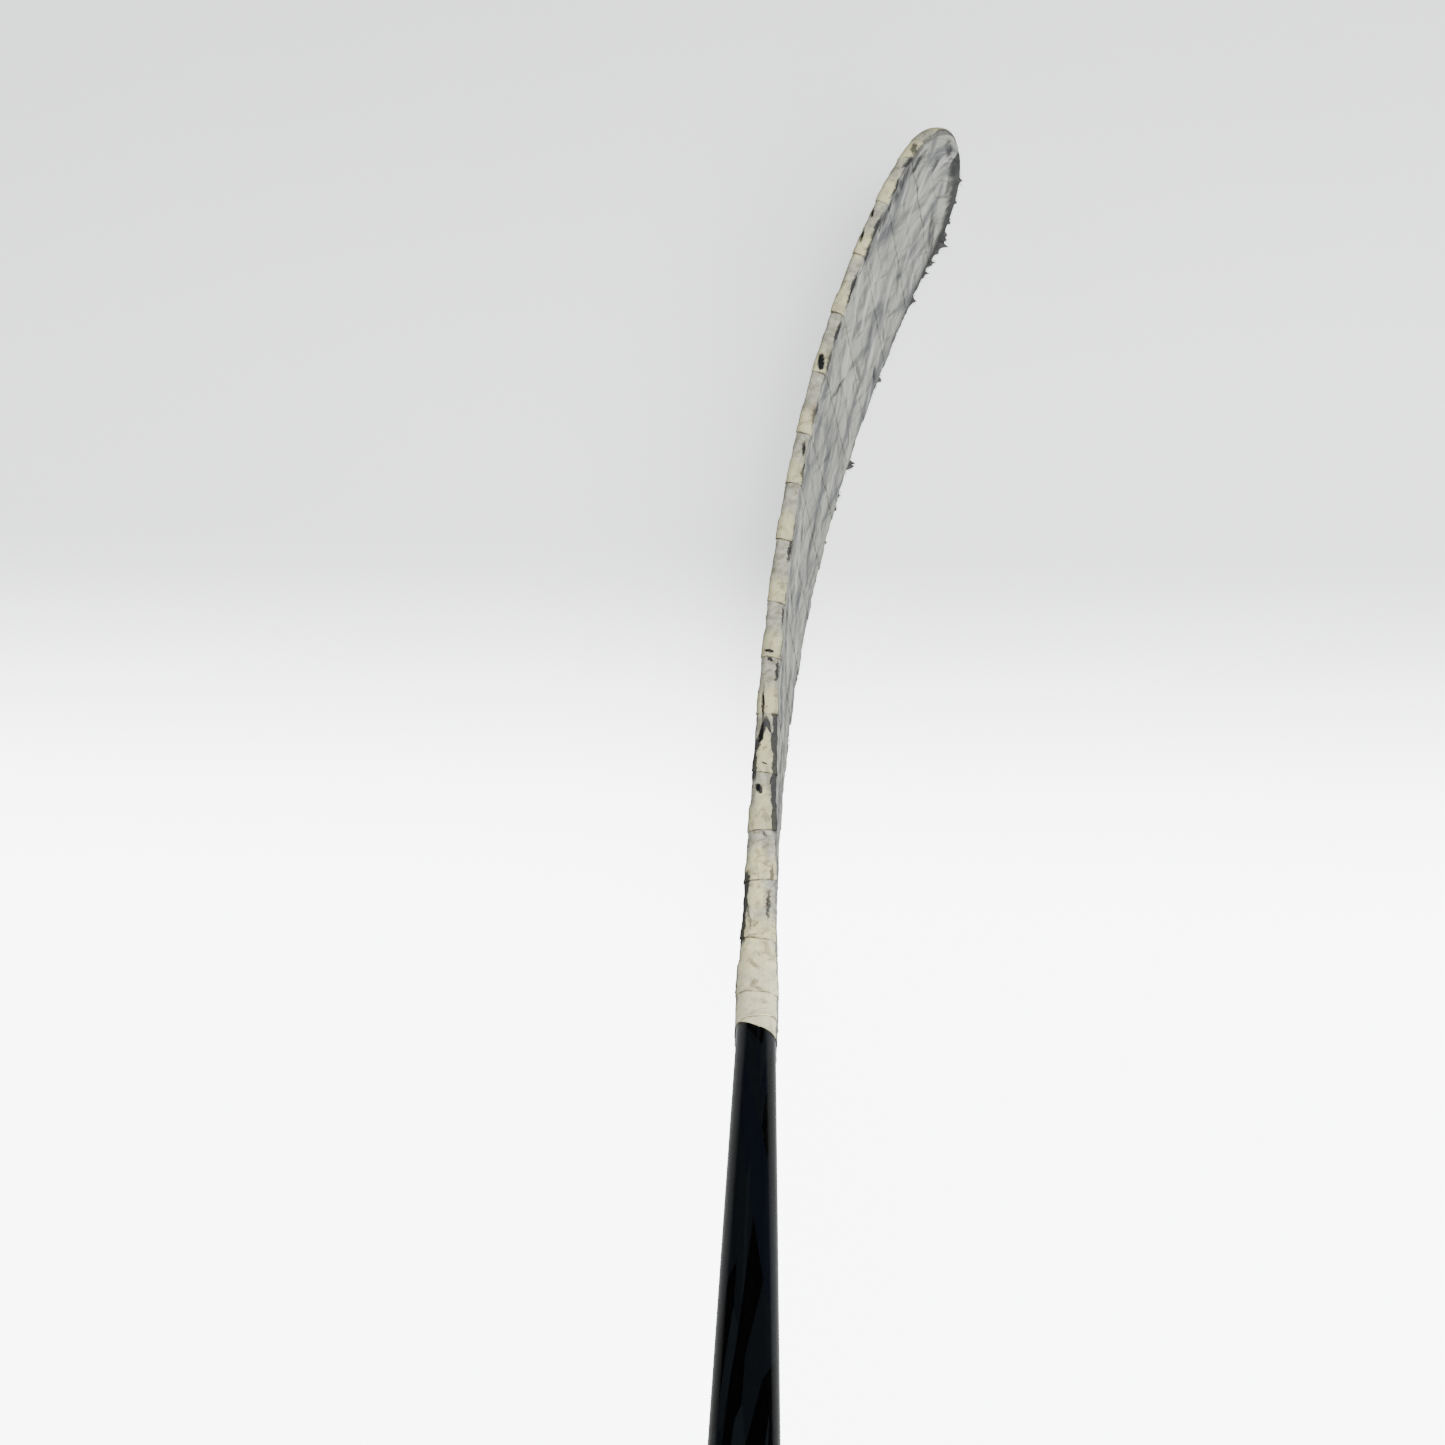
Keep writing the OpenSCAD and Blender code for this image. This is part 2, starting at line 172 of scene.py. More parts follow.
def outline(v, height, thick, r):
    """Where v lies on a section: mm above the sole, mm towards the backhand, the two parts of its outward
    direction, and its distance from the middle of the top edge, counted round the section."""
    hand = np.where(v % 1 < 0.5, -1.0, 1.0)
    u = np.where(v % 1 < 0.5, v % 1, 1 - v % 1)
    sole, low, face, high, top = ROUND
    flat = thick / 2 - r
    a = np.clip((u - sole) / (low - sole), 0, 1) * math.pi / 2
    b = np.clip((u - face) / (high - face), 0, 1) * math.pi / 2
    f = np.clip((u - low) / (face - low), 0, 1)
    parts = [u < sole, u < low, u < face, u < high]
    rise = np.select(parts, [0 * u, r - r * np.cos(a), r + f * (height - 2 * r), height - r + r * np.sin(b)],
                     height)
    side = np.select(parts, [flat * u / sole, flat + r * np.sin(a), thick / 2, flat + r * np.cos(b)],
                     flat * (top - u) / (top - high))
    up = np.select(parts, [-1 + 0 * u, -np.cos(a), 0 * u, np.sin(b)], 1.0)
    across = np.select(parts, [0 * u, np.sin(a), 1 + 0 * u, np.cos(b)], 0.0)
    quarter = flat + r * math.pi / 2
    round_top = np.select([u < low, u < face, u < high],
                          [quarter + height - 2 * r + (low - u) / low * quarter,
                           quarter + height - r - rise, flat + r * (math.pi / 2 - b)], side)
    return rise, hand * side, up, hand * across, hand * round_top


def skin(q, v, out):
    """Points on the stick, out mm from its bare surface. With each come its distance from the top edge's
    middle, counted round the section, and its share of the height."""
    height, thick, r, low, high = size_at(q)
    rise, side, up, across, from_top = outline(v, height, thick, r)
    axis = (high - low) / height[..., None]
    p = low + axis * (rise + up * out)[..., None]
    y = middle_y(p[..., 0], p[..., 1]) + side + across * out
    return np.stack([p[..., 0], y, p[..., 1]], -1), from_top, rise / height


# ---- Meshes ----

def make_piece(name, points, faces, fields=None, flat_angle=40):
    """One object from points in mm, none below the ice. fields are the values that its material reads."""
    mesh = bpy.data.meshes.new(name)
    points = np.array(points, float).reshape(-1, 3)
    points[:, 2] = np.maximum(points[:, 2], 0)
    mesh.from_pydata((points * MM).tolist(), [], faces)
    for field, values in (fields or {}).items():
        made = mesh.attributes.new(field, "FLOAT_VECTOR", "POINT")
        made.data.foreach_set("vector", np.ravel(values).astype(np.float32))
    piece = bpy.data.objects.new(name, mesh)
    bpy.context.scene.collection.objects.link(piece)
    shade(piece, flat_angle)
    return piece


def shade(piece, flat_angle=40):
    """Smooth all over, but for edges sharper than flat_angle."""
    for face in piece.data.polygons:
        face.use_smooth = True
    piece.data.set_sharp_from_angle(angle=math.radians(flat_angle))


def sheet_faces(rows, columns, closed=False):
    """Faces of a grid of points, row by row, facing out. A closed one joins each row's end to its start."""
    last = columns if closed else columns - 1
    return [(i * columns + j, i * columns + (j + 1) % columns, (i + 1) * columns + (j + 1) % columns,
             (i + 1) * columns + j) for i in range(rows - 1) for j in range(last)]


def give_thickness(piece, thick):
    """Turns a sheet into cloth of real thickness, inwards, and keeps its cut edges sharp."""
    solid = piece.modifiers.new("thickness", "SOLIDIFY")
    solid.thickness = thick * MM
    solid.offset = -1
    solid.use_even_offset = False
    graph = bpy.context.evaluated_depsgraph_get()
    made = bpy.data.meshes.new_from_object(piece.evaluated_get(graph), depsgraph=graph)
    piece.modifiers.clear()
    piece.data = made
    shade(piece, 50)


def ripple(x, y, size, seed, waves=7):
    """A smooth surface between about -1 and 1, with bumps about size across."""
    draw = np.random.default_rng(seed)
    total = 0
    for _ in range(waves):
        turn, phase = draw.uniform(0, 2 * math.pi, 2)
        wave = size * draw.uniform(0.7, 1.6)
        total = total + np.sin(2 * math.pi * (x * math.cos(turn) + y * math.sin(turn)) / wave + phase)
    return total / math.sqrt(waves)


# ---- Cloth tape ----

CLOTH_T = 0.28            # thickness of one layer of cloth tape
LAYER = 0.30              # what each layer adds, with its adhesive
TAPE_W = 30.0             # width of the tape, so that each lap covers a third of the one before it
# q of each lap's heel-side edge where it crosses the middle of the top edge. The tape was wound by hand, so
# the laps are uneven. The last is the fold round the toe.
LAP_TOPS = (-77, -73, -62, -35, -12, 8, 31, 52, 73, 93, 116, 137, 156, 179, 202, 225, 245, 264)
# How far each edge drops back towards the heel on its way down to the sole
LEANS = (0, -1, 4, 6, 8, 9, 10, 12, 13, 14, 14, 13, 11, 11, 14, 13, 9, 5)
# How far each edge moves towards the toe for every mm across the top, from forehand to backhand
SLANTS = (0.4, -0.2, -0.1, 0, -0.2, -0.2, 0, -0.1, -0.1, 0, 0, -0.1, 0, 0, 0, 0, 0, 0)
SPLIT_LAP = 8             # the tape is two strips, and the second starts here
TOE_START = LAP_TOPS[-1]
LAST_Q = BLADE_LEN - 6    # the strip stops short of the toe's end, which the fold closes
NEAR_TOP = 9.0            # holes lie within this of the top edge's middle
BED = 0.04                # adhesive under the first layer


def lap_edge(a, from_top):
    """q of the tape's heel-side edge after a turns, from_top mm round from the middle of the top edge."""
    knots = np.arange(2 * len(LAP_TOPS)) / 2
    edge = np.interp(a, knots, [v for top, lean in zip(LAP_TOPS, LEANS) for v in (top - lean, top)])
    slant = np.take(SLANTS, np.clip(np.floor(a), 0, len(SLANTS) - 1).astype(int))
    near = np.clip(from_top, -6.5, 6.5) * smooth((26 - np.abs(from_top)) / 16)
    wander = 0.45 * ripple(a * 40, 0 * a, 34, 21) * smooth(a)
    return edge + slant * near + wander


def places_round(counts):
    """Places round one turn, with counts of them along half the sole, the corner, the face, the upper corner
    and half the top edge."""
    parts = [np.linspace(a, b, n)[:-1] for a, b, n in zip((0, *ROUND), ROUND, counts)]
    half = np.concatenate([*parts, [ROUND[-1]]])
    return np.concatenate([half, 1 - half[-2:0:-1]])


TAPE_PLACES = (3, 7, 35, 9, 6)
SHAFT_PLACES = (4, 13, 7, 13, 4)


def folds(q, off, seed, count):
    """Creases pulled into the cloth as it was wound. Most run up from the heel side towards the top edge."""
    draw = np.random.default_rng(seed)
    total = np.zeros_like(q)
    for _ in range(count):
        q0, r0 = draw.uniform(-75, 285), draw.uniform(3, 66)
        angle = math.radians(draw.choice([28, 62, -38]) + draw.normal(0, 9))
        length, width = draw.uniform(5, 17), draw.uniform(0.7, 1.3)
        height = draw.uniform(0.14, 0.34) * draw.choice([1, 1, -0.5])
        along = (q - q0) * math.cos(angle) + (off - r0) * math.sin(angle)
        away = -(q - q0) * math.sin(angle) + (off - r0) * math.cos(angle)
        total += height * np.exp(-(along / length) ** 2 - (away / width) ** 2)
    return total


# Worn holes in the tape along the top edge: q, mm from the middle of the edge towards the backhand, half
# length, half width, and slant in degrees
HOLES = ((183, 0, 3, 1, 14), (150, -1.5, 2, 0.4, 8), (75, 0.5, 1.4, 0.5, 80), (72, 0, 1.2, 0.5, 52),
         (56, 1.4, 4, 0.3, 2), (49, -0.3, 1.5, 1, 35), (46, 1.3, 4.4, 0.8, -10), (47, -1, 1.7, 0.3, 28),
         (24, 1.4, 1.8, 1.0, 24), (232, 1.2, 2, 0.4, 10), (241, 1, 1.2, 0.4, 14))
# Where the corners of the top edge are worn dark: from q, to q, and which side
WORN = ((6, 54, -1), (26, 45, 1), (-38, -7, 1))


def hole_depth(q, from_top):
    """mm inside the edge of the nearest hole, below 0 outside."""
    inside = np.full(np.shape(q), -9.0)
    for q0, c0, length, width, slant in HOLES:
        s, c = math.sin(math.radians(slant)), math.cos(math.radians(slant))
        along, off = (q - q0) * c + (from_top - c0) * s, (from_top - c0) * c - (q - q0) * s
        inside = np.maximum(inside, (1 - np.hypot(along / length, off / width)) * width)
    return inside + 0.13 * ripple(q, from_top, 1.1, 11) + 0.07 * ripple(q, from_top, 0.5, 12)


def tape_fields(q, a, w, gap, run, from_top, share, thick, r, height):
    """What the tape's material reads at each point: place in the weave, place on the stick, and wear."""
    corner = thick / 2 - r + 0.75 * r * math.pi / 2
    ahead = np.clip((q - TOE_Q) / TOE_LEN, 0, 1)
    above = np.abs(share - 0.5) * height / ((top_edge(TOE_Q) - sole_edge(TOE_Q)) / 2)
    rim = TOE_LEN * (1 - (ahead ** TOE_POWER + above ** TOE_POWER) ** (1 / TOE_POWER))
    rim = np.where(q > TOE_Q, rim, 99.0)
    worn = np.zeros_like(q)
    for start, end, hand in WORN:
        worn = np.maximum(worn, smooth((q - start) / 2.5) * smooth((end - q) / 2.5) * (hand * from_top > 0))
    past_top = np.maximum(np.abs(from_top) - corner, np.where(q > TOE_Q + 8, rim - 1.3, -9))
    above_sole = np.where(share < 0.5, np.minimum(share * height, rim), share * height)
    depth = np.where(np.abs(from_top) < NEAR_TOP, np.clip(hole_depth(q, from_top), -2, 1), -2.0)
    return {"cloth": np.stack([run, w, gap - w], -1),
            "place": np.stack([q, from_top, np.floor(a)], -1),
            "edges": np.stack([past_top, above_sole, from_top], -1),
            "wear": np.stack([worn, depth, 0 * q], -1)}


def wind_tape(name, first, last):
    """A strip of tape wound round the stick from turn first to turn last, newer laps over older ones."""
    turn = places_round(TAPE_PLACES)
    a = np.concatenate([k + turn for k in range(first, last)] + [[last - 1e-6]])
    w = np.concatenate([[0, 0.25, 0.7, 1.3, 2.1], np.arange(3.4, TAPE_W - 0.5, 1.6), [TAPE_W]])
    a, w = np.meshgrid(a, w, indexing="ij")
    height, thick, r, _, _ = size_at(np.minimum(lap_edge(a, 0 * a) + w, LAST_Q))
    from_top = outline(a, height, thick, r)[4]
    edge = lap_edge(a, from_top)
    q = np.minimum(edge + w, LAST_Q)
    height, thick, r, _, _ = size_at(q)
    from_top = outline(a, height, thick, r)[4]
    out = BED + LAYER + 0 * q
    for back in (1, 2, 3):
        under = lap_edge(a - back, from_top) + TAPE_W - q
        out += LAYER * smooth(under / 1.1 + 0.5) * (a - back >= 0)
    gap = lap_edge(np.minimum(a + 1, len(LAP_TOPS) - 0.5), from_top) - edge
    out += 0.14 * np.exp(-w / 0.6) * np.clip(ripple(a * 70, 0 * a, 20, 5), 0, 1)
    rise, side = outline(a, height, thick, r)[:2]
    down = np.abs(from_top) - thick / 2
    fade = smooth(down / 4) * smooth((rise - 2) / 5)
    out += fade * np.where(side < 0, folds(q, down, 31, 110), folds(q, down, 32, 80))
    out += 0.11 * ripple(q, from_top, 7, 41) + 0.08 * ripple(q, from_top, 2.8, 42)
    points, from_top, share = skin(q, a, out)
    step = np.linalg.norm(np.diff(points[:, 6], axis=0), axis=1)
    run = np.concatenate([[0], np.cumsum(step)])[:, None] + 0 * w
    piece = make_piece(name, points, sheet_faces(*q.shape),
                       tape_fields(q, a, w, gap, run, from_top, share, thick, r, height), 180)
    cut_holes(piece)
    give_thickness(piece, CLOTH_T)
    return piece


def cut_holes(piece):
    """Refines the cloth round each hole, and then cuts the hole out of it with a ragged edge."""
    made = bmesh.new()
    made.from_mesh(piece.data)
    place = made.verts.layers.float_vector["place"]

    def middles(faces):
        return np.array([np.mean([tuple(v[place]) for v in f.verts], axis=0) for f in faces]).reshape(-1, 3)

    near_top = [f for f in made.faces if abs(f.verts[0][place].y) < 8]
    at = middles(near_top)
    close = np.zeros(len(at), bool)
    for q0, c0, length, _, _ in HOLES:
        close |= np.hypot(at[:, 0] - q0, at[:, 1] - c0) < length + 0.8
    if close.any():
        edges = {e for f, hit in zip(near_top, close) if hit for e in f.edges if e.calc_length() > 0.3 * MM}
        bmesh.ops.subdivide_edges(made, edges=list(edges), cuts=6, use_grid_fill=True)
        faces = [f for f in made.faces if abs(f.verts[0][place].y) < 8]
        at = middles(faces)
        gone = [f for f, depth in zip(faces, hole_depth(at[:, 0], at[:, 1])) if depth > 0]
        bmesh.ops.delete(made, geom=gone, context="FACES")
    made.to_mesh(piece.data)
    made.free()
    shade(piece, 180)


TOE_LAP = 272.0           # a second edge crosses the fold here


def fold_tape_round_toe():
    """The tape folded round the toe, closed at its end."""
    start = math.degrees(math.asin((TOE_START - 6 - TOE_Q) / TOE_LEN))
    theta = np.concatenate([np.linspace(start, 64, 40), np.linspace(65, TOE_TIP, 18)])
    turn = places_round(TAPE_PLACES)
    theta, v = np.meshgrid(np.radians(theta), turn, indexing="ij")
    free = smooth((math.radians(70) - theta) / 0.5)
    q = TOE_Q + TOE_LEN * np.sin(theta)
    height, thick, r, _, _ = size_at(q)
    from_top = outline(v, height, thick, r)[4]
    q = q + free * (6 - 5.0 * np.abs(from_top) / 64 + 0.5 * ripple(from_top, 0 * v, 17, 64))
    height, thick, r, _, _ = size_at(q)
    bare, from_top, share = skin(q, v, 0 * q)
    d_theta = skin(q + 0.05, v, 0 * q)[0] - skin(q - 0.05, v, 0 * q)[0]
    d_turn = skin(q, v + 0.0005, 0 * q)[0] - skin(q, v - 0.0005, 0 * q)[0]
    away = np.cross(d_theta, d_turn)
    away /= np.linalg.norm(away, axis=-1, keepdims=True)
    down, rise = np.abs(from_top) - thick / 2, share * height
    line = TOE_LAP - 4 * np.abs(from_top) / 60 + 0.5 * ripple(from_top, 0 * v, 15, 63)
    out = BED + 2 * LAYER + 0.2 * smooth((q - line) / 0.8 + 0.5)
    out += 0.05 * ripple(q, from_top, 6, 41)
    out += folds(q, down, 62, 120) * smooth(down / 4) * smooth((rise - 2) / 5)
    points = bare + away * out[..., None]
    w = q - q[:1]
    run = np.cumsum(np.linalg.norm(np.diff(points, axis=1, prepend=points[:, :1]), axis=-1), axis=1)
    to_line = np.where(q < line, line - q, 30.0)
    fields = tape_fields(q, 17 + v, w, w + to_line, run, from_top, share, thick, r, height)
    order = (slice(None), slice(None, None, -1))
    fields = {field: values[order] for field, values in fields.items()}
    tip = points[-1].mean(0) + np.array([0.15, 0, 0])
    rows, columns = q.shape
    faces = sheet_faces(rows, columns, True)
    last = (rows - 1) * columns
    faces += [(last + j, last + (j + 1) % columns, rows * columns) for j in range(columns)]
    fields = {field: np.concatenate([values.reshape(-1, 3), values.reshape(-1, 3)[-1:]])
              for field, values in fields.items()}
    points = np.concatenate([points[order].reshape(-1, 3), [tip]])
    piece = make_piece("toe_tape", points, faces, fields, 180)
    cut_holes(piece)
    give_thickness(piece, CLOTH_T)
    return piece


# ---- Frayed cloth ----

# Where the sole has torn: q in mm, and size of the torn bit
FRAY_CLUMPS = ((-10, 0.8), (10, 0.8), (53, 0.9), (78, 0.6), (136, 0.8), (150, 1), (156, 0.9), (169, 2.3),
               (207, 1.2), (242, 1.6), (254, 1.5), (259, 1.5), (266, 2.9), (270, 2.0), (275, 1.4), (281, 1.2),
               (286, 1.2))


def fray_sole():
    """Loose threads along the sole, mostly on its forehand side, thickest at the tears and near the toe."""
    draw = np.random.default_rng(71)
    starts = [(q + draw.normal(0, 1.4), size) for q, size in FRAY_CLUMPS for _ in range(int(9 * size))]
    starts += [(draw.uniform(-20, 286), draw.uniform(0.3, 0.7)) for _ in range(110)]
    starts += [(draw.uniform(198, 287), draw.uniform(0.2, 0.55)) for _ in range(420)]
    points, faces = [], []
    for q, size in starts:
        q = min(q, BLADE_LEN - 1.2)
        v = draw.uniform(0.002, 0.045) if draw.random() < 0.85 else draw.uniform(0.955, 0.996)
        root = skin(np.array([q]), np.array([v]), np.array([TAPE_T - 0.15]))[0][0]
        hand = -1 if v < 0.5 else 1
        aim = np.array([draw.normal(-0.2, 0.7), hand * draw.uniform(0.5, 1.2), draw.normal(0.1, 0.4)])
        curl = draw.normal(0, 0.6, 3)
        length = min(size, 1.3) * draw.uniform(0.5, 1.5)
        add_thread(points, faces, root, aim / np.linalg.norm(aim), curl, length, draw.uniform(0.08, 0.17))
    return make_piece("sole_frays", points, faces, None, 180)


def add_thread(points, faces, root, aim, curl, length, thin, steps=5, sides=4):
    """One loose thread: a thin tube that curls as it goes and lies on the ice where it comes down to it."""
    base = len(points)
    across = np.cross(aim, [0, 0, 1.0])
    across /= np.linalg.norm(across) + 1e-6
    over = np.cross(aim, across)
    for i in range(steps + 1):
        f = i / steps
        mid = root + aim * length * f + curl * length * 0.5 * f * f
        radius = thin * (1 - 0.6 * f)
        for j in range(sides):
            turn = 2 * math.pi * j / sides
            p = mid + radius * (across * math.cos(turn) + over * math.sin(turn))
            points.append((p[0], p[1], max(p[2], 0.02)))
    for i in range(steps):
        for j in range(sides):
            k = (j + 1) % sides
            faces.append((base + i * sides + j, base + i * sides + k, base + (i + 1) * sides + k,
                          base + (i + 1) * sides + j))
    faces.append(tuple(base + j for j in reversed(range(sides))))
    faces.append(tuple(base + steps * sides + j for j in range(sides)))


def tear_flaps():
    """Torn bits of tape, crumpled and dark, that stand out from the sole."""
    draw = np.random.default_rng(81)
    points, faces = [], []
    rows, columns = 9, 11
    for q0, size in FRAY_CLUMPS:
        base = len(points)
        ragged = draw.uniform(0.6, 1.0, columns) * np.sin(np.linspace(0.5, math.pi - 0.5, columns))
        lift, drift = draw.uniform(0.1, 0.5), draw.uniform(-0.7, 0.1)
        for i in range(rows):
            f = i / (rows - 1)
            for j in range(columns):
                g = 2 * j / (columns - 1) - 1
                q = min(q0 + g * size * 1.5 * (1 - 0.45 * f), BLADE_LEN - 1)
                x, y, z = skin(np.array([q]), np.array([0.018]), np.array([TAPE_T - 0.3]))[0][0]
                reach = size * 2.0 * f * ragged[j] * (1 - 0.35 * abs(g - 0.3))
                crumple = 0.22 * size * f * math.sin(5 * g + 3 * f * lift + q0)
                points.append((x + drift * reach + draw.normal(0, 0.06), y - reach + crumple,
                               max(0.3, z + lift * reach + crumple + 0.3 + draw.normal(0, 0.05))))
        faces += [tuple(base + n for n in face) for face in sheet_faces(rows, columns)]
    piece = make_piece("sole_flaps", points, faces, None, 180)
    give_thickness(piece, 0.3)
    return piece


# ---- Shaft ----

def sweep(name, stations, v, caps=False):
    """A skin through sections at each (s up the shaft, mm out from the bare shaft)."""
    rows, run = [], []
    for s, out in stations:
        q = np.full(len(v), q_of(float(s)))
        points, from_top, _ = skin(q, v, np.full(len(v), float(out)))
        rows.append(points)
        run.append(np.stack([np.full(len(v), float(s)), from_top, np.cos(2 * math.pi * v)], -1))
    rows, run = np.array(rows), np.array(run)
    faces = sheet_faces(len(rows), len(v), True)
    if caps:
        n = len(v)
        faces += [tuple(range((len(rows) - 1) * n, len(rows) * n)), tuple(reversed(range(n)))]
    return make_piece(name, rows, faces, {"shaft": run}, 35)


def make_shaft():
    """The hollow tube, cut back where the sleeve lies over its mouth."""
    end_taper = HOSEL_S + TAPER
    step = JOINT_S + SLEEVE_LEN / 2
    outer = [(JOINT_S, -SLEEVE_T), (step, -SLEEVE_T), (step + 0.05, 0)]
    outer += [(s, 0) for s in np.linspace(step + 6, end_taper, 12)]
    outer += [(s, 0) for s in np.linspace(end_taper + 20, STICK_LEN, 30)]
    inner = [(s, -WALL) for s in (STICK_LEN, end_taper, step, JOINT_S)]
    return sweep("carbon_shaft", outer + inner + outer[:1], places_round(SHAFT_PLACES))


def make_sleeve():
    """The thin carbon sleeve over the joint of blade and shaft, flush with both."""
    low, high = JOINT_S - SLEEVE_LEN / 2, JOINT_S + SLEEVE_LEN / 2
    outer = [(s, 0) for s in np.linspace(low, high, 9)]
    inner = [(s, -SLEEVE_T) for s in np.linspace(high, low, 9)]
    return sweep("joint_wrap", outer + inner + outer[:1], places_round(SHAFT_PLACES))


def make_plug_cap():
    """The rubber cap on the butt end, with a moulded round edge and the plug below it inside the shaft."""
    inside = -(WALL + 0.3)
    stations = [(STICK_LEN - 45, inside), (STICK_LEN, inside), (STICK_LEN, -0.1)]
    stations += [(STICK_LEN + 0.6, 0), (STICK_LEN + PLUG_H - 1.6, 0)]
    for turn in (30, 60, 90):
        fall = 1.6 * (1 - math.cos(math.radians(turn)))
        stations.append((STICK_LEN + PLUG_H - 1.6 + 1.6 * math.sin(math.radians(turn)), -fall))
    return sweep("butt_plug", stations, places_round(SHAFT_PLACES), caps=True)


# ---- Grip ----

GRIP_LEN, GRIP_T, KNOB_LEN, KNOB_H = 190.0, 0.8, 26.0, 4.5
GRIP_PITCH, KNOB_PITCH = 15.0, 4.5


def wind_grip(name, low_s, high_s, pitch, profile, seed):
    """Cloth tape wound down the shaft from high_s to low_s. profile gives how far out it lies at s."""
    turns = int(round((high_s - low_s) / pitch))
    turn = places_round(TAPE_PLACES)
    width = pitch + 4
    a = np.concatenate([k + turn for k in range(turns)] + [[turns]])
    w = np.concatenate([[0, 0.3, 0.8, 1.5], np.arange(2.4, width, 1.3)])
    a, w = np.meshgrid(a, w, indexing="ij")
    first = q_of(high_s)
    edge = first + np.clip(a - 1, 0, None) * pitch
    q = np.clip(edge + w + 0.4 * ripple(a * 40, 0 * a, 50, seed), first, q_of(low_s))
    s = HOSEL_S + HOSEL_Q - q
    lift = mix(0.3, 0, smooth((w - 0.4 * pitch) / (0.6 * pitch)))
    out = profile(s) + lift - 0.3
    out += 0.1 * np.exp(-w / 0.7) * np.clip(ripple(a * 60, 0 * a, 25, seed + 1), 0, 1)
    out += 0.06 * ripple(q, a * 80, 8, seed + 2)
    out = np.where(w > pitch + 0.5, profile(s) - 0.36, out)
    points, from_top, _ = skin(q, a, np.maximum(out, CLOTH_T + 0.01))
    step = np.linalg.norm(np.diff(points[:, 5], axis=0), axis=1)
    run = np.concatenate([[0], np.cumsum(step)])[:, None] + 0 * w
    fields = {"cloth": np.stack([run, w, pitch - w], -1), "place": np.stack([q, from_top, np.floor(a)], -1)}
    piece = make_piece(name, points, sheet_faces(*q.shape), fields, 180)
    give_thickness(piece, CLOTH_T)
    return piece


def knob_profile(s):
    """The knob is built up in turns, with round shoulders."""
    top = STICK_LEN
    low = top - KNOB_LEN
    rise = smooth((s - low) / 7) ** 0.6
    fall = smooth((top + 1.5 - s) / 4.5) ** 0.5
    return GRIP_T + (KNOB_H - GRIP_T) * rise * fall


# ---- Materials ----

def srgb(code, alpha=1.0):
    """A hex colour as linear values."""
    parts = [int(code[i:i + 2], 16) / 255 for i in (1, 3, 5)]
    return tuple(c / 12.92 if c <= 0.04045 else ((c + 0.055) / 1.055) ** 2.4 for c in parts) + (alpha,)


def feed(tree, node, given):
    """Sets a node's inputs. given maps an input to a value, a hex colour, or the node or output before it."""
    for key, value in given.items():
        if isinstance(value, str):
            value = srgb(value)
        if isinstance(value, bpy.types.Node):
            value = next(output for output in value.outputs if output.enabled)
        if isinstance(value, bpy.types.NodeSocket):
            tree.links.new(value, node.inputs[key])
        else:
            node.inputs[key].default_value = value


def add(tree, kind, given=None, **settings):
    """Adds a node with its settings and its inputs."""
    node = tree.nodes.new("ShaderNode" + kind)
    for name, value in settings.items():
        setattr(node, name, value)
    feed(tree, node, given or {})
    return node


def start_material(name, colour="#808080", **constants):
    """A material with its Principled shader, whose constants are set on its own sockets."""
    material = bpy.data.materials.new(name)
    material.use_nodes = True
    shader = material.node_tree.nodes["Principled BSDF"]
    shader.inputs["Base Color"].default_value = srgb(colour)
    for key, value in constants.items():
        shader.inputs[key.replace("_", " ")].default_value = value
    return material, material.node_tree, shader


WAVE = 0.314              # scale at which a wave texture repeats once every mm


def woven(tree, cloth, rib, thread):
    """A plain weave: its ribs, rib mm apart along the tape, and its height with the threads across it."""
    across = {"Vector": cloth, "Scale": WAVE / rib, "Distortion": 0.5, "Detail": 1.0, "Detail Scale": 2.0}
    along = {"Vector": cloth, "Scale": WAVE / thread, "Distortion": 0.4, "Detail": 1.0, "Detail Scale": 2.0}
    ribs = add(tree, "TexWave", across, bands_direction="X")
    threads = add(tree, "TexWave", along, bands_direction="Y")
    return ribs, add(tree, "Mix", {0: 0.4, 2: ribs, 3: threads}, data_type="FLOAT")


def stain(tree, under, tone, amount, none, full, most=1.0):
    """Lays a tone over a colour: not at all where amount is none, and up to most where amount is full."""
    share = add(tree, "MapRange", {0: amount, 1: none, 2: full, 3: 0.0, 4: most},
                interpolation_type="SMOOTHSTEP")
    return add(tree, "Mix", {0: share, 6: under, 7: tone}, data_type="RGBA")


def patches(tree, where, size, angle=0, detail=4.0, roughness=0.6):
    """Soft patches about size mm long and wide, which slant at angle degrees."""
    turned = add(tree, "Mapping", {"Vector": where, "Rotation": (0, 0, math.radians(angle)),
                                   "Scale": (*size, 1e5)}, vector_type="TEXTURE")
    return add(tree, "TexNoise", {"Vector": turned, "Scale": 1.0, "Detail": detail, "Roughness": roughness})


def strokes(tree, where, shapes, soft):
    """Single marks with soft edges. Each is q, mm round from the top edge's middle (forehand below 0), slant
    in degrees, half length, half width, and strength."""
    total = 0.0
    for q, off, angle, length, width, strength in shapes:
        turned = add(tree, "Mapping", {"Vector": where, "Location": (q, off, 0),
                                       "Rotation": (0, 0, math.radians(angle)),
                                       "Scale": (length, width, 1e5)}, vector_type="TEXTURE")
        inside = add(tree, "TexGradient", {"Vector": turned}, gradient_type="SPHERICAL")
        mark = add(tree, "MapRange", {0: inside, 1: 0.0, 2: soft, 3: 0.0, 4: strength},
                   interpolation_type="SMOOTHSTEP")
        total = add(tree, "Math", {0: total, 1: mark}, operation="MAXIMUM")
    return total


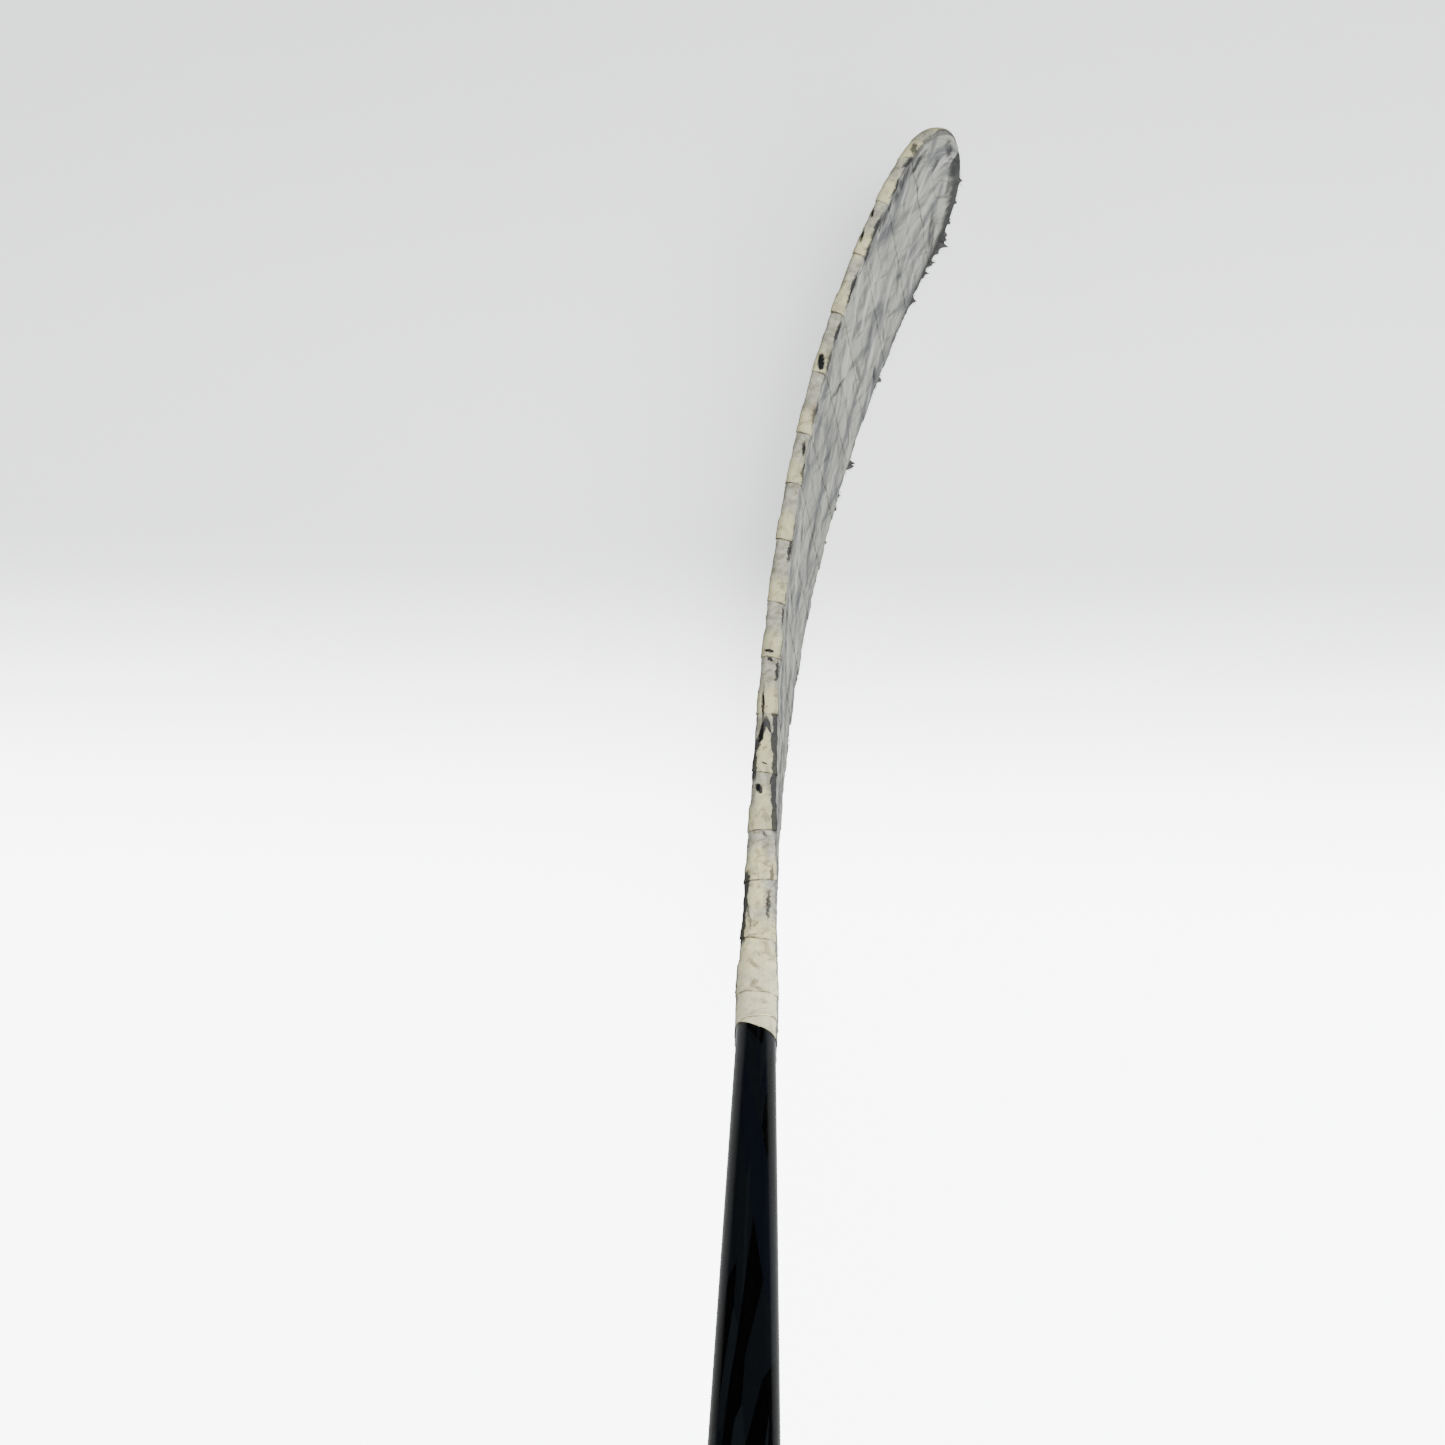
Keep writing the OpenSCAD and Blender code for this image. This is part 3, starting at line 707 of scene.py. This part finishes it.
def band(tree, amount, start, full, past, end):
    """1 where amount lies from full to past, and 0 before start and after end."""
    rise = add(tree, "MapRange", {0: amount, 1: start, 2: full}, interpolation_type="SMOOTHSTEP")
    fall = add(tree, "MapRange", {0: amount, 1: end, 2: past}, interpolation_type="SMOOTHSTEP")
    return add(tree, "Math", {0: rise, 1: fall}, operation="MULTIPLY")


# Strokes of puck rubber on the forehand face, then dirt on the top edge
FACE_STROKES = (
    (124, -20, 50, 6, 2, 0.85), (99, -16, 48, 6, 1, 0.8), (182, -23, -40, 14, 2, 0.8),
    (267, -8, 15, 9, 2.5, 1.0), (256, -6, 8, 11, 4, 0.9), (241, -5, 4, 11, 3, 0.85),
    (284, -14, 80, 12, 3, 0.8), (275, -20, 50, 6, 2, 0.7), (264, -57, 70, 18, 4, 0.75),
    (281, -36, 66, 17, 3, 0.7), (213, -40, 40, 9, 2, 0.6), (197, -41, 84, 12, 2, 0.7),
    (206, -64, 70, 6, 3, 0.85), (128, -40, 3, 18, 4, 0.5), (88, -14, 58, 10, 2, 0.5),
    (158, -33, -52, 10, 2, 0.6), (237, -48, 66, 11, 2, 0.6))
TOP_STROKES = (
    (268, -1, 20, 4, 1.5, 0.8), (262, -2, -10, 4, 1.2, 0.8), (252, -2.5, 5, 5, 1.2, 0.8),
    (235, -2.5, 0, 7, 1.5, 0.8), (226, -3, 5, 5, 1.5, 0.8), (212, -2.5, 0, 10, 1, 0.9),
    (195, -2.5, 0, 6, 1, 0.9), (184, -2.5, 0, 7, 1, 0.7), (163, -2.5, 0, 7, 1, 0.7),
    (142, -2.5, 0, 5, 1, 0.8), (112, -2.5, 0, 6, 1, 0.9), (88, -3, 0, 5, 1, 0.8), (68, -2.5, 0, 6, 1, 0.9),
    (-22, -3, 0, 9, 1, 0.8), (6, -1, 12, 2, 1, 0.7), (-9, -4, 0, 5, 1, 0.7), (34, 0, 65, 2, 0.5, 0.9),
    (-26, 3.5, 8, 9, 0.7, 0.6))
# Brown smudges of old adhesive, and the cream patches
BROWN_STROKES = (
    (-40, -3, 12, 5, 2, 0.6), (-48, 1, 35, 4, 1.5, 0.8), (-57, 1, -20, 3, 2, 0.8),
    (-60, 0, 60, 4, 1.5, 0.7), (-1, 1.5, 40, 2, 1.5, 0.7), (165, -1.5, 0, 5, 1, 0.7),
    (-6, -2, 60, 3, 1, 0.7), (-66, -2, 5, 3, 1.5, 0.5))
CREAM_STROKES = (
    (250, 0, 0, 9, 3, 0.8), (-38, 3, -30, 7, 4, 1), (228, 0, 0, 9, 3, 0.8), (-18, 1, 0, 11, 5, 0.9),
    (18, 0, 0, 12, 4, 1), (39, 0, 0, 13, 4, 1), (57, -1, 0, 9, 3, 1), (121, 0, 0, 9, 4, 0.9),
    (-4, 1, 0, 10, 5, 1), (-62, 0, 0, 16, 14, 1), (-46, 0, 0, 16, 14, 1), (268, 0, 0, 8, 3, 0.8),
    (211, 0, 0, 9, 2, 0.7), (98, 0, 0, 8, 3, 0.7), (78, 0, 0, 8, 3, 0.8), (284, 0, 0, 9, 40, 0.8))


def cotton_blade_tape():
    """Woven cotton hockey tape. It was white, and has yellowed with air and gloves, greyed with puck rubber,
    and worn through to its dark adhesive along the corners. The eye sees fine ribs across the tape, a dark
    line at every lap, cream at the start of each lap along the top, and slanting grey smears on the faces."""
    material, tree, shader = start_material("woven_cotton_tape", Roughness=0.92, Specular_IOR_Level=0.2)
    cloth, place, edges, wear = (add(tree, "Attribute", attribute_name=name).outputs["Vector"]
                                 for name in ("cloth", "place", "edges", "wear"))
    in_cloth, in_place, in_edges, in_wear = (add(tree, "SeparateXYZ", {0: v}).outputs
                                             for v in (cloth, place, edges, wear))
    ribs, weave = woven(tree, cloth, 0.85, 0.55)      # real threads are 0.4 mm, drawn coarser to show

    # Marks are ragged by up to 1.6 mm
    shake = add(tree, "TexNoise", {"Vector": place, "Scale": 0.5, "Detail": 5.0, "Roughness": 0.75})
    shake = add(tree, "VectorMath", {0: shake.outputs["Color"], 1: (0.5, 0.5, 0.5)}, operation="SUBTRACT")
    shake = add(tree, "VectorMath", {0: shake, "Scale": 3.2}, operation="SCALE")
    ragged = add(tree, "VectorMath", {0: place, 1: shake}, operation="ADD")

    mottle = add(tree, "TexNoise", {"Vector": cloth, "Scale": 0.32, "Detail": 6.0, "Roughness": 0.68})
    grain = add(tree, "TexNoise", {"Vector": cloth, "Scale": 1.3, "Detail": 3.0, "Roughness": 0.7})
    blotch = patches(tree, ragged, (9, 4), 0, 5.0)
    rough = patches(tree, place, (5, 2), 0, 5.0, 0.65)
    past_corner = add(tree, "Math", {0: rough, 1: 3.2, 2: in_edges["X"]}, operation="MULTIPLY_ADD")
    on_face = add(tree, "MapRange", {0: past_corner, 1: 1.1, 2: 2.3}, interpolation_type="SMOOTHSTEP")

    # The top edge: warm greyed white, with cream where two layers lie at the start of a lap
    across_lap = add(tree, "Math", {0: blotch, 1: 9.0, 2: in_cloth["Y"]}, operation="MULTIPLY_ADD")
    new_lap = add(tree, "MapRange", {0: across_lap, 1: 17.0, 2: 10.0, 3: 0.0, 4: 0.7})
    cream = add(tree, "Math", {0: new_lap, 1: strokes(tree, ragged, CREAM_STROKES, 0.8)},
                operation="MAXIMUM")
    top = stain(tree, "#8E8D82", "#C4C3B2", mottle, 0.35, 0.65)
    yellowed = add(tree, "Mix", {0: mottle, 6: "#CBC288", 7: "#FFFAC8"}, data_type="RGBA")
    top = stain(tree, top, yellowed, cream, 0.0, 1.0)
    top = stain(tree, top, "#857F6A", blotch, 0.5, 0.7, 0.75)
    top = stain(tree, top, "#6E6248", patches(tree, ragged, (2.2, 5), 35, 4.0), 0.53, 0.66, 0.7)

    # Lighter over the heel, and greyer along the blade towards the toe
    top = stain(tree, top, "#FFFBDC", in_place["X"], -28.0, -60.0, 0.45)
    top = stain(tree, top, "#6C6C5E", in_place["X"], -50.0, 15.0, 0.5)

    # The faces: each lap its own shade of grey, with long soft smears in several directions
    lap = add(tree, "TexWhiteNoise", {"W": in_place["Z"]}, noise_dimensions="1D")
    face = add(tree, "Mix", {0: lap, 6: "#8B8D86", 7: "#A3A59D"}, data_type="RGBA")
    face = stain(tree, face, "#96968C", mottle, 0.3, 0.7)
    smears = (("#606264", 8, (44, 9), 0.44, 0.9), ("#55575A", -36, (36, 7), 0.49, 0.85),
              ("#595B5E", 66, (28, 5.5), 0.5, 0.85), ("#C4C6BE", 30, (34, 7), 0.5, 0.7),
              ("#B8BAB2", -12, (30, 5), 0.54, 0.55), ("#3E3F42", -50, (18, 2.6), 0.57, 0.7),
              ("#3F4043", 24, (22, 2.4), 0.57, 0.7))
    for tone, angle, size, none, most in smears:
        smear = patches(tree, place, size, angle, 4.0, 0.5)
        face = stain(tree, face, tone, smear, none, none + 0.22, most)
    tucked = band(tree, in_cloth["Y"], 9.0, 10.0, 10.2, 11.2)
    face = stain(tree, face, "#55565A", tucked, 0.0, 1.0, 0.25)
    colour = add(tree, "Mix", {0: on_face, 6: top, 7: face}, data_type="RGBA")

    # Towards the sole and the toe the cloth is black with wear
    toe_wear = add(tree, "MapRange", {0: in_place["X"], 1: 215.0, 2: 275.0, 3: 0.0, 4: 5.5})
    low = add(tree, "Math", {0: blotch, 1: 7.0, 2: in_edges["Y"]}, operation="MULTIPLY_ADD")
    low = add(tree, "Math", {0: low, 1: toe_wear}, operation="SUBTRACT")
    low = add(tree, "Mix", {0: on_face, 2: 20.0, 3: low}, data_type="FLOAT")
    colour = stain(tree, colour, "#222325", low, 8.5, 2.5, 0.9)

    # Grime lies along the forehand side of the top edge in a broken band, darkest towards the toe
    grime = add(tree, "MapRange", {0: in_place["X"], 1: 120.0, 2: 250.0, 3: 0.1, 4: 0.0})
    grime = add(tree, "Math", {0: patches(tree, place, (13, 4)), 1: grime}, operation="SUBTRACT")
    beside = band(tree, past_corner, 0.8, 1.5, 3.2, 5.2)
    forehand = add(tree, "Math", {0: in_place["Y"], 1: 0.0}, operation="LESS_THAN")
    beside = add(tree, "Math", {0: beside, 1: forehand}, operation="MULTIPLY")
    grime = add(tree, "MapRange", {0: grime, 1: 0.44, 2: 0.56, 3: 0.0, 4: 0.85},
                interpolation_type="SMOOTHSTEP")
    grime = add(tree, "Math", {0: grime, 1: beside}, operation="MULTIPLY")
    # A broken dark line along both corners of the top edge, where it turns down to the faces
    line = band(tree, past_corner, 0.9, 1.5, 1.8, 2.6)
    line = add(tree, "Math", {0: line, 1: patches(tree, place, (14, 3))}, operation="MULTIPLY")
    speck = add(tree, "MapRange", {0: grain, 1: 0.62, 2: 0.72})
    streaks = patches(tree, ragged, (11, 1.8), 52)
    streaks = add(tree, "MapRange", {0: streaks, 1: 0.36, 2: 0.58, 3: 0.45, 4: 1.0})
    rubber = strokes(tree, ragged, FACE_STROKES, 0.7)
    rubber = add(tree, "Math", {0: rubber, 1: streaks}, operation="MULTIPLY")
    for tone, amount, none, full, most in (
            ("#4B4A48", grime, 0.0, 1.0, 0.85), ("#3B3A38", line, 0.42, 0.58, 0.75),
            ("#7A6850", strokes(tree, ragged, BROWN_STROKES, 0.7), 0.0, 1.0, 0.7),
            ("#242528", rubber, 0.0, 0.95, 0.92),
            ("#1D1E21", strokes(tree, ragged, TOP_STROKES, 0.6), 0.0, 1.0, 0.95),
            ("#4A4438", speck, 0.0, 1.0, 0.6)):
        colour = stain(tree, colour, tone, amount, none, full, most)

    # Corners worn through to the dark adhesive
    across = add(tree, "Math", {0: rough, 1: 4.0, 2: in_edges["X"]}, operation="MULTIPLY_ADD")
    bare = band(tree, across, -0.3, 0.3, 2.6, 3.2)
    bare = add(tree, "Math", {0: bare, 1: in_wear["X"]}, operation="MULTIPLY")
    adhesive = add(tree, "Mix", {0: grain, 6: "#0C0D0F", 7: "#38393D"}, data_type="RGBA")
    colour = stain(tree, colour, adhesive, bare, 0.0, 1.0, 0.92)

    # Dirt and painted shade in each seam: painted shade with dirt in the step under the next lap's edge, dirt
    # on each lap's own cut edge, and dirt round each hole
    # Painted shade with dirt: darker on this lap just before the next lap's edge, in the step that edge
    # shades
    dirt = add(tree, "MapRange", {0: in_cloth["Z"], 1: 0.9, 2: 0.1, 3: 0.0, 4: 0.85})
    lip = add(tree, "MapRange", {0: in_cloth["Y"], 1: 0.35, 2: 0.0, 3: 0.0, 4: 0.5})
    seam_dirt_and_shade = add(tree, "Math", {0: dirt, 1: lip}, operation="MAXIMUM")
    broken = add(tree, "TexNoise", {"Vector": place, "Scale": 0.3, "Detail": 4.0})
    broken = add(tree, "MapRange", {0: broken, 1: 0.35, 2: 0.6, 3: 0.3, 4: 1.0})
    faint = add(tree, "MapRange", {0: on_face, 3: 1.0, 4: 0.4})
    for part in (broken, faint):
        seam_dirt_and_shade = add(tree, "Math", {0: seam_dirt_and_shade, 1: part}, operation="MULTIPLY")
    colour = stain(tree, colour, "#2C251C", seam_dirt_and_shade, 0.0, 1.0)
    colour = stain(tree, colour, "#33322F", in_wear["Y"], -0.35, -0.05, 0.8)
    # Painted shade and light of the weave: the colour is darker in the grooves between ribs and lighter on
    # their crests
    rib_shading = add(tree, "MapRange", {0: ribs, 3: 0.91, 4: 1.04})
    colour = add(tree, "Mix", {0: 1.0, 6: colour, 7: rib_shading}, data_type="RGBA", blend_type="MULTIPLY")

    fuzz = add(tree, "TexNoise", {"Vector": cloth, "Scale": 3.0, "Detail": 3.0})
    relief = add(tree, "Mix", {0: 0.35, 2: weave, 3: fuzz}, data_type="FLOAT")
    bump = add(tree, "Bump", {"Height": relief, "Strength": 0.5, "Distance": 0.25 * MM})
    dull = add(tree, "MapRange", {0: mottle, 1: 0.2, 2: 0.8, 3: 0.82, 4: 0.98})
    feed(tree, shader, {"Base Color": colour, "Normal": bump, "Roughness": dull})
    return material


def cotton_grip_tape():
    """Clean white cotton tape under the hands. The eye sees the ribs, grey hand dirt on the laps, and painted
    shade with dirt at each lap's edge.
    """
    material, tree, shader = start_material("woven_cotton_grip_tape", Roughness=0.92, Specular_IOR_Level=0.2)
    cloth, place = (add(tree, "Attribute", attribute_name=name).outputs["Vector"]
                    for name in ("cloth", "place"))
    to_lap = add(tree, "SeparateXYZ", {0: cloth}).outputs["Z"]
    ribs, weave = woven(tree, cloth, 0.85, 0.55)
    hands = add(tree, "TexNoise", {"Vector": place, "Scale": 0.06, "Detail": 6.0})
    colour = stain(tree, "#C6C7C1", "#8D8A81", hands, 0.42, 0.68, 0.7)
    # Painted shade with dirt: darker in the step just under each next lap's edge
    colour = stain(tree, colour, "#5F5C56", to_lap, 0.8, 0.1, 0.7)
    # Painted shade and light of the weave: the colour is darker in the grooves between ribs and lighter on
    # their crests
    rib_shading = add(tree, "MapRange", {0: ribs, 3: 0.88, 4: 1.03})
    colour = add(tree, "Mix", {0: 1.0, 6: colour, 7: rib_shading}, data_type="RGBA", blend_type="MULTIPLY")
    bump = add(tree, "Bump", {"Height": weave, "Strength": 0.5, "Distance": 0.25 * MM})
    feed(tree, shader, {"Base Color": colour, "Normal": bump})
    return material


def frayed_cotton():
    """Broken cotton threads, black with puck rubber and ice dirt. The eye sees dull grey fibre."""
    material, tree, shader = start_material("frayed_cotton", Roughness=0.95, Specular_IOR_Level=0.15)
    where = add(tree, "TexCoord").outputs["Object"]
    dirt = add(tree, "TexNoise", {"Vector": where, "Scale": 220.0, "Detail": 4.0})
    colour = add(tree, "Mix", {0: dirt, 6: "#1A1B1D", 7: "#6A6A69"}, data_type="RGBA")
    feed(tree, shader, {"Base Color": colour})
    return material


def clear_coated_carbon():
    """Black paint over carbon under a polished clear coat. The eye sees deep gloss, long slanting shards in
    charcoal and navy that are barely lighter than the black, and fine hairline scratches from play."""
    material, tree, shader = start_material("clear_coated_carbon", Roughness=0.45, Specular_IOR_Level=0.03,
                                            Coat_Weight=0.6, Coat_Roughness=0.04, Coat_IOR=1.4)
    where = add(tree, "Attribute", attribute_name="shaft").outputs["Vector"]
    colour = "#010102"
    for tone, angle, size, none in (("#090C0F", 7, (72, 7), 0.58), ("#070911", -9, (60, 5), 0.66),
                                    ("#0D1114", 4, (38, 2.6), 0.74)):
        turned = add(tree, "Mapping", {"Vector": where, "Rotation": (0, 0, math.radians(angle)),
                                       "Scale": (*size, 1e5)}, vector_type="TEXTURE")
        shards = add(tree, "TexVoronoi", {"Vector": turned, "Scale": 1.0})
        level = add(tree, "SeparateXYZ", {0: shards.outputs["Color"]})
        colour = stain(tree, colour, tone, level, none, none + 0.05)

    # Hairline scratches, nearly along the shaft, 0.1 mm wide and drawn at 0.3 mm to show
    colour = stain(tree, colour, "#1E2124", patches(tree, where, (34, 0.45), 4, 2.0, 0.5), 0.745, 0.775, 0.35)
    dust = add(tree, "TexNoise", {"Vector": where, "Scale": 0.15, "Detail": 6.0, "Roughness": 0.7})
    haze = add(tree, "MapRange", {0: dust, 1: 0.3, 2: 0.8, 3: 0.3, 4: 0.5})
    waves = add(tree, "TexNoise", {"Vector": where, "Scale": 0.05, "Detail": 2.0})
    bump = add(tree, "Bump", {"Height": waves, "Strength": 0.1, "Distance": 0.4 * MM})
    feed(tree, shader, {"Base Color": colour, "Roughness": haze, "Normal": bump, "Coat Normal": bump})
    return material


def carbon_laminate():
    """Moulded twill carbon and epoxy with a satin surface. The eye sees a fine near-black checked weave."""
    material, tree, shader = start_material("carbon_laminate", Roughness=0.4, Specular_IOR_Level=0.2,
                                            Coat_Weight=0.15, Coat_Roughness=0.15)
    where = add(tree, "TexCoord").outputs["Object"]
    turned = add(tree, "Mapping", {"Vector": where, "Rotation": (0.0, math.radians(45), 0.0),
                                   "Scale": (500.0, 500.0, 500.0)})    # 2 mm tows
    tows = add(tree, "TexChecker", {"Vector": turned, "Scale": 1.0, "Color1": "#08090A", "Color2": "#121315"})
    gloss = add(tree, "MapRange", {0: tows.outputs["Fac"], 3: 0.28, 4: 0.45})
    feed(tree, shader, {"Base Color": tows, "Roughness": gloss})
    return material


def rigid_foam():
    """Cut closed-cell foam. The eye sees cream cells about half a millimetre across."""
    material, tree, shader = start_material("rigid_foam", Roughness=0.85)
    where = add(tree, "TexCoord").outputs["Object"]
    cells = add(tree, "TexVoronoi", {"Vector": where, "Scale": 2000.0}).outputs["Distance"]
    colour = add(tree, "Mix", {0: cells, 6: "#B9A878", 7: "#E6DDBB"}, data_type="RGBA")
    bump = add(tree, "Bump", {"Height": cells, "Strength": 0.4, "Distance": 0.2 * MM})
    feed(tree, shader, {"Base Color": colour, "Normal": bump})
    return material


def cured_epoxy():
    """Cured epoxy adhesive. The eye sees amber, slightly cloudy."""
    material, tree, shader = start_material("cured_epoxy", Roughness=0.25, IOR=1.55)
    where = add(tree, "TexCoord").outputs["Object"]
    cloud = add(tree, "TexNoise", {"Vector": where, "Scale": 150.0, "Detail": 4.0})
    colour = add(tree, "Mix", {0: cloud, 6: "#8C6A2E", 7: "#C9A765"}, data_type="RGBA")
    feed(tree, shader, {"Base Color": colour})
    return material


def moulded_rubber():
    """Moulded black rubber with a fine spark-eroded texture. The eye sees a soft, dusty black."""
    material, tree, shader = start_material("moulded_rubber", Roughness=0.75, Specular_IOR_Level=0.35)
    where = add(tree, "TexCoord").outputs["Object"]
    grain = add(tree, "TexNoise", {"Vector": where, "Scale": 1500.0, "Detail": 3.0})
    dust = add(tree, "TexNoise", {"Vector": where, "Scale": 60.0, "Detail": 5.0})
    colour = add(tree, "Mix", {0: dust, 6: "#131313", 7: "#2A2A29"}, data_type="RGBA")
    bump = add(tree, "Bump", {"Height": grain, "Strength": 0.4, "Distance": 0.1 * MM})
    feed(tree, shader, {"Base Color": colour, "Normal": bump})
    return material


def use(material, *pieces):
    """Gives pieces one material."""
    for piece in pieces:
        piece.data.materials.clear()
        piece.data.materials.append(material)


# ---- Build the stick ----

heel_strip = wind_tape("blade_tape_heel", 0, SPLIT_LAP)
blade_strip = wind_tape("blade_tape", SPLIT_LAP, len(LAP_TOPS) - 1)
toe_tape = fold_tape_round_toe()
frays = fray_sole()
flaps = tear_flaps()
shaft = make_shaft()
sleeve = make_sleeve()
plug = make_plug_cap()
grip = wind_grip("grip_wrap", STICK_LEN - KNOB_LEN - GRIP_LEN, STICK_LEN - KNOB_LEN + 4, GRIP_PITCH,
                 lambda s: GRIP_T + 0 * s, 91)
knob = wind_grip("knob_wrap", STICK_LEN - KNOB_LEN, STICK_LEN + 1.2, KNOB_PITCH, knob_profile, 95)

tape, grip_cloth = cotton_blade_tape(), cotton_grip_tape()
gloss, laminate = clear_coated_carbon(), carbon_laminate()
use(tape, heel_strip, blade_strip, toe_tape)
use(frayed_cotton(), frays, flaps)
use(gloss, shaft, sleeve)
use(moulded_rubber(), plug)
use(grip_cloth, grip, knob)
use(laminate, *(nodes[n] for n in ("skin_forehand", "skin_backhand", "top_rail", "sole_rail", "toe_cap",
                                   "core_bridge", "blade_tenon")))
use(rigid_foam(), *(nodes[n] for n in ("core_upper", "core_lower", "heel_block")))
use(cured_epoxy(), nodes["tenon_bond"], nodes["plug_glue"])

# Pieces to attach to the body, each listed with a slot name that nothing reads
SLOTS = ((heel_strip, "blade_tape"), (blade_strip, "blade_tape"), (toe_tape, "blade_tape"),
         (frays, "blade_tape"), (flaps, "blade_tape"), (shaft, "shaft_gloss"), (sleeve, "shaft_gloss"),
         (plug, "plug_rubber"), (grip, "grip_cloth"), (knob, "grip_cloth"))
for piece, slot in SLOTS:
    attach(piece, BODY)
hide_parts("tape_first_turn", "tape_heel_laps")
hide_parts("tape_blade_laps")
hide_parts("tape_toe_fold")
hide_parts("shaft_tube")
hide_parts("joint_sleeve")
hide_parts("end_plug")
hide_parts("grip_tape")
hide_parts("knob_tape")


# ---- Stage, light and camera ----

def make_floor():
    """A pale board, 8 m square, under the stick, with a painted glow that only the camera sees."""
    floor = make_piece("floor", [(-4000, -4000, 0), (4000, -4000, 0), (4000, 4000, 0), (-4000, 4000, 0)],
                       [(0, 1, 2, 3)])
    floor.location.z = -0.0002
    material, tree, shader = start_material("pale_board_painted_glow", "#C8CACA", Roughness=0.85, Specular_IOR_Level=0.2)
    where = add(tree, "TexCoord").outputs["Object"]
    patchy = add(tree, "TexNoise", {"Vector": where, "Scale": 6.0, "Detail": 3.0})
    colour = add(tree, "Mix", {0: patchy, 6: "#C5C7C7", 7: "#CCCECE"}, data_type="RGBA")

    # Painted light: the board glows for the camera only, as if lit from below: most on the heel's side, least
    # past the toe, and evenly far away
    along = add(tree, "SeparateXYZ", {0: where})
    glow = add(tree, "MapRange", {0: along, 1: -0.02, 2: 0.14, 3: 8.0, 4: 1.3},
               interpolation_type="SMOOTHSTEP")
    far_end = add(tree, "MapRange", {0: along, 1: 0.16, 2: 0.42, 3: 1.0, 4: 0.75},
                  interpolation_type="SMOOTHSTEP")
    glow = add(tree, "Math", {0: glow, 1: far_end}, operation="MULTIPLY")
    away = add(tree, "VectorMath", {0: where, 1: (0.1, 0, 0)}, operation="DISTANCE")
    away = add(tree, "MapRange", {0: away, 1: 0.5, 2: 1.4}, interpolation_type="SMOOTHSTEP")
    glow = add(tree, "Mix", {0: away, 2: glow, 3: 2.4}, data_type="FLOAT")
    seen = add(tree, "LightPath").outputs["Is Camera Ray"]
    glow = add(tree, "Math", {0: glow, 1: seen}, operation="MULTIPLY")
    feed(tree, shader, {"Base Color": colour, "Emission Color": "#F3F6F5", "Emission Strength": glow})
    use(material, floor)


def add_lamp(name, place, aim, size, power, mirrored=True):
    """A soft rectangular lamp, aimed at a point. Places are in metres."""
    data = bpy.data.lights.new(name, "AREA")
    data.shape = "RECTANGLE"
    data.size, data.size_y = size
    data.energy = power
    lamp = bpy.data.objects.new(name, data)
    bpy.context.scene.collection.objects.link(lamp)
    lamp.location = place
    lamp.rotation_euler = (Vector(aim) - Vector(place)).to_track_quat("-Z", "Y").to_euler()
    lamp.visible_camera = False
    lamp.visible_glossy = mirrored


def light_studio():
    """A pale room seen past the stick, with little of it mirrored in the shaft, and four soft lamps. The fill
    lamp lights the backhand side and isn't mirrored."""
    world = bpy.data.worlds.new("studio")
    bpy.context.scene.world = world
    world.use_nodes = True
    tree = world.node_tree
    seen = add(tree, "LightPath").outputs["Is Camera Ray"]
    strength = add(tree, "MapRange", {0: seen, 3: 0.03, 4: 1.7})
    feed(tree, tree.nodes["Background"], {"Color": "#EEF0F2", "Strength": strength})
    add_lamp("softbox", (-0.5, -0.42, 1.25), (-0.05, 0, 0), (1.3, 1.3), 42)
    add_lamp("overhead", (0.12, -0.38, 1.7), (-0.05, 0, 0.05), (0.6, 0.6), 15)
    add_lamp("window", (0.15, -1.9, 1.3), (0.1, 0, 0.05), (1.6, 1.2), 18)
    add_lamp("fill", (-0.2, 1.9, 1.1), (-0.1, 0, 0.2), (1.8, 1.4), 14, mirrored=False)


CAMERA_AT = Vector((-0.0406, 0.0, 0.572))     # 0.57 m above the ice, over the heel
TILT, YAW, ROLL = math.radians(10), math.radians(-1.68), math.radians(-1.66)
LENS = 36.07


def place_camera():
    """Looks down from above the heel, tilted a little towards the toe, which is up in the picture."""
    forward = Vector((math.sin(TILT), 0, -math.cos(TILT)))
    up = Vector((math.cos(TILT), 0, math.sin(TILT)))
    right = Vector((0, -1, 0))
    turned = forward * math.cos(YAW) + right * math.sin(YAW)
    right = right * math.cos(YAW) - forward * math.sin(YAW)
    up, right = up * math.cos(ROLL) + right * math.sin(ROLL), right * math.cos(ROLL) - up * math.sin(ROLL)
    data = bpy.data.cameras.new("camera")
    data.lens, data.sensor_width = LENS, 36
    data.clip_start = 0.01
    camera = bpy.data.objects.new("camera", data)
    bpy.context.scene.collection.objects.link(camera)
    camera.matrix_world = Matrix.Translation(CAMERA_AT) @ Matrix((right, up, -turned)).transposed().to_4x4()
    bpy.context.scene.camera = camera


make_floor()
light_studio()
place_camera()
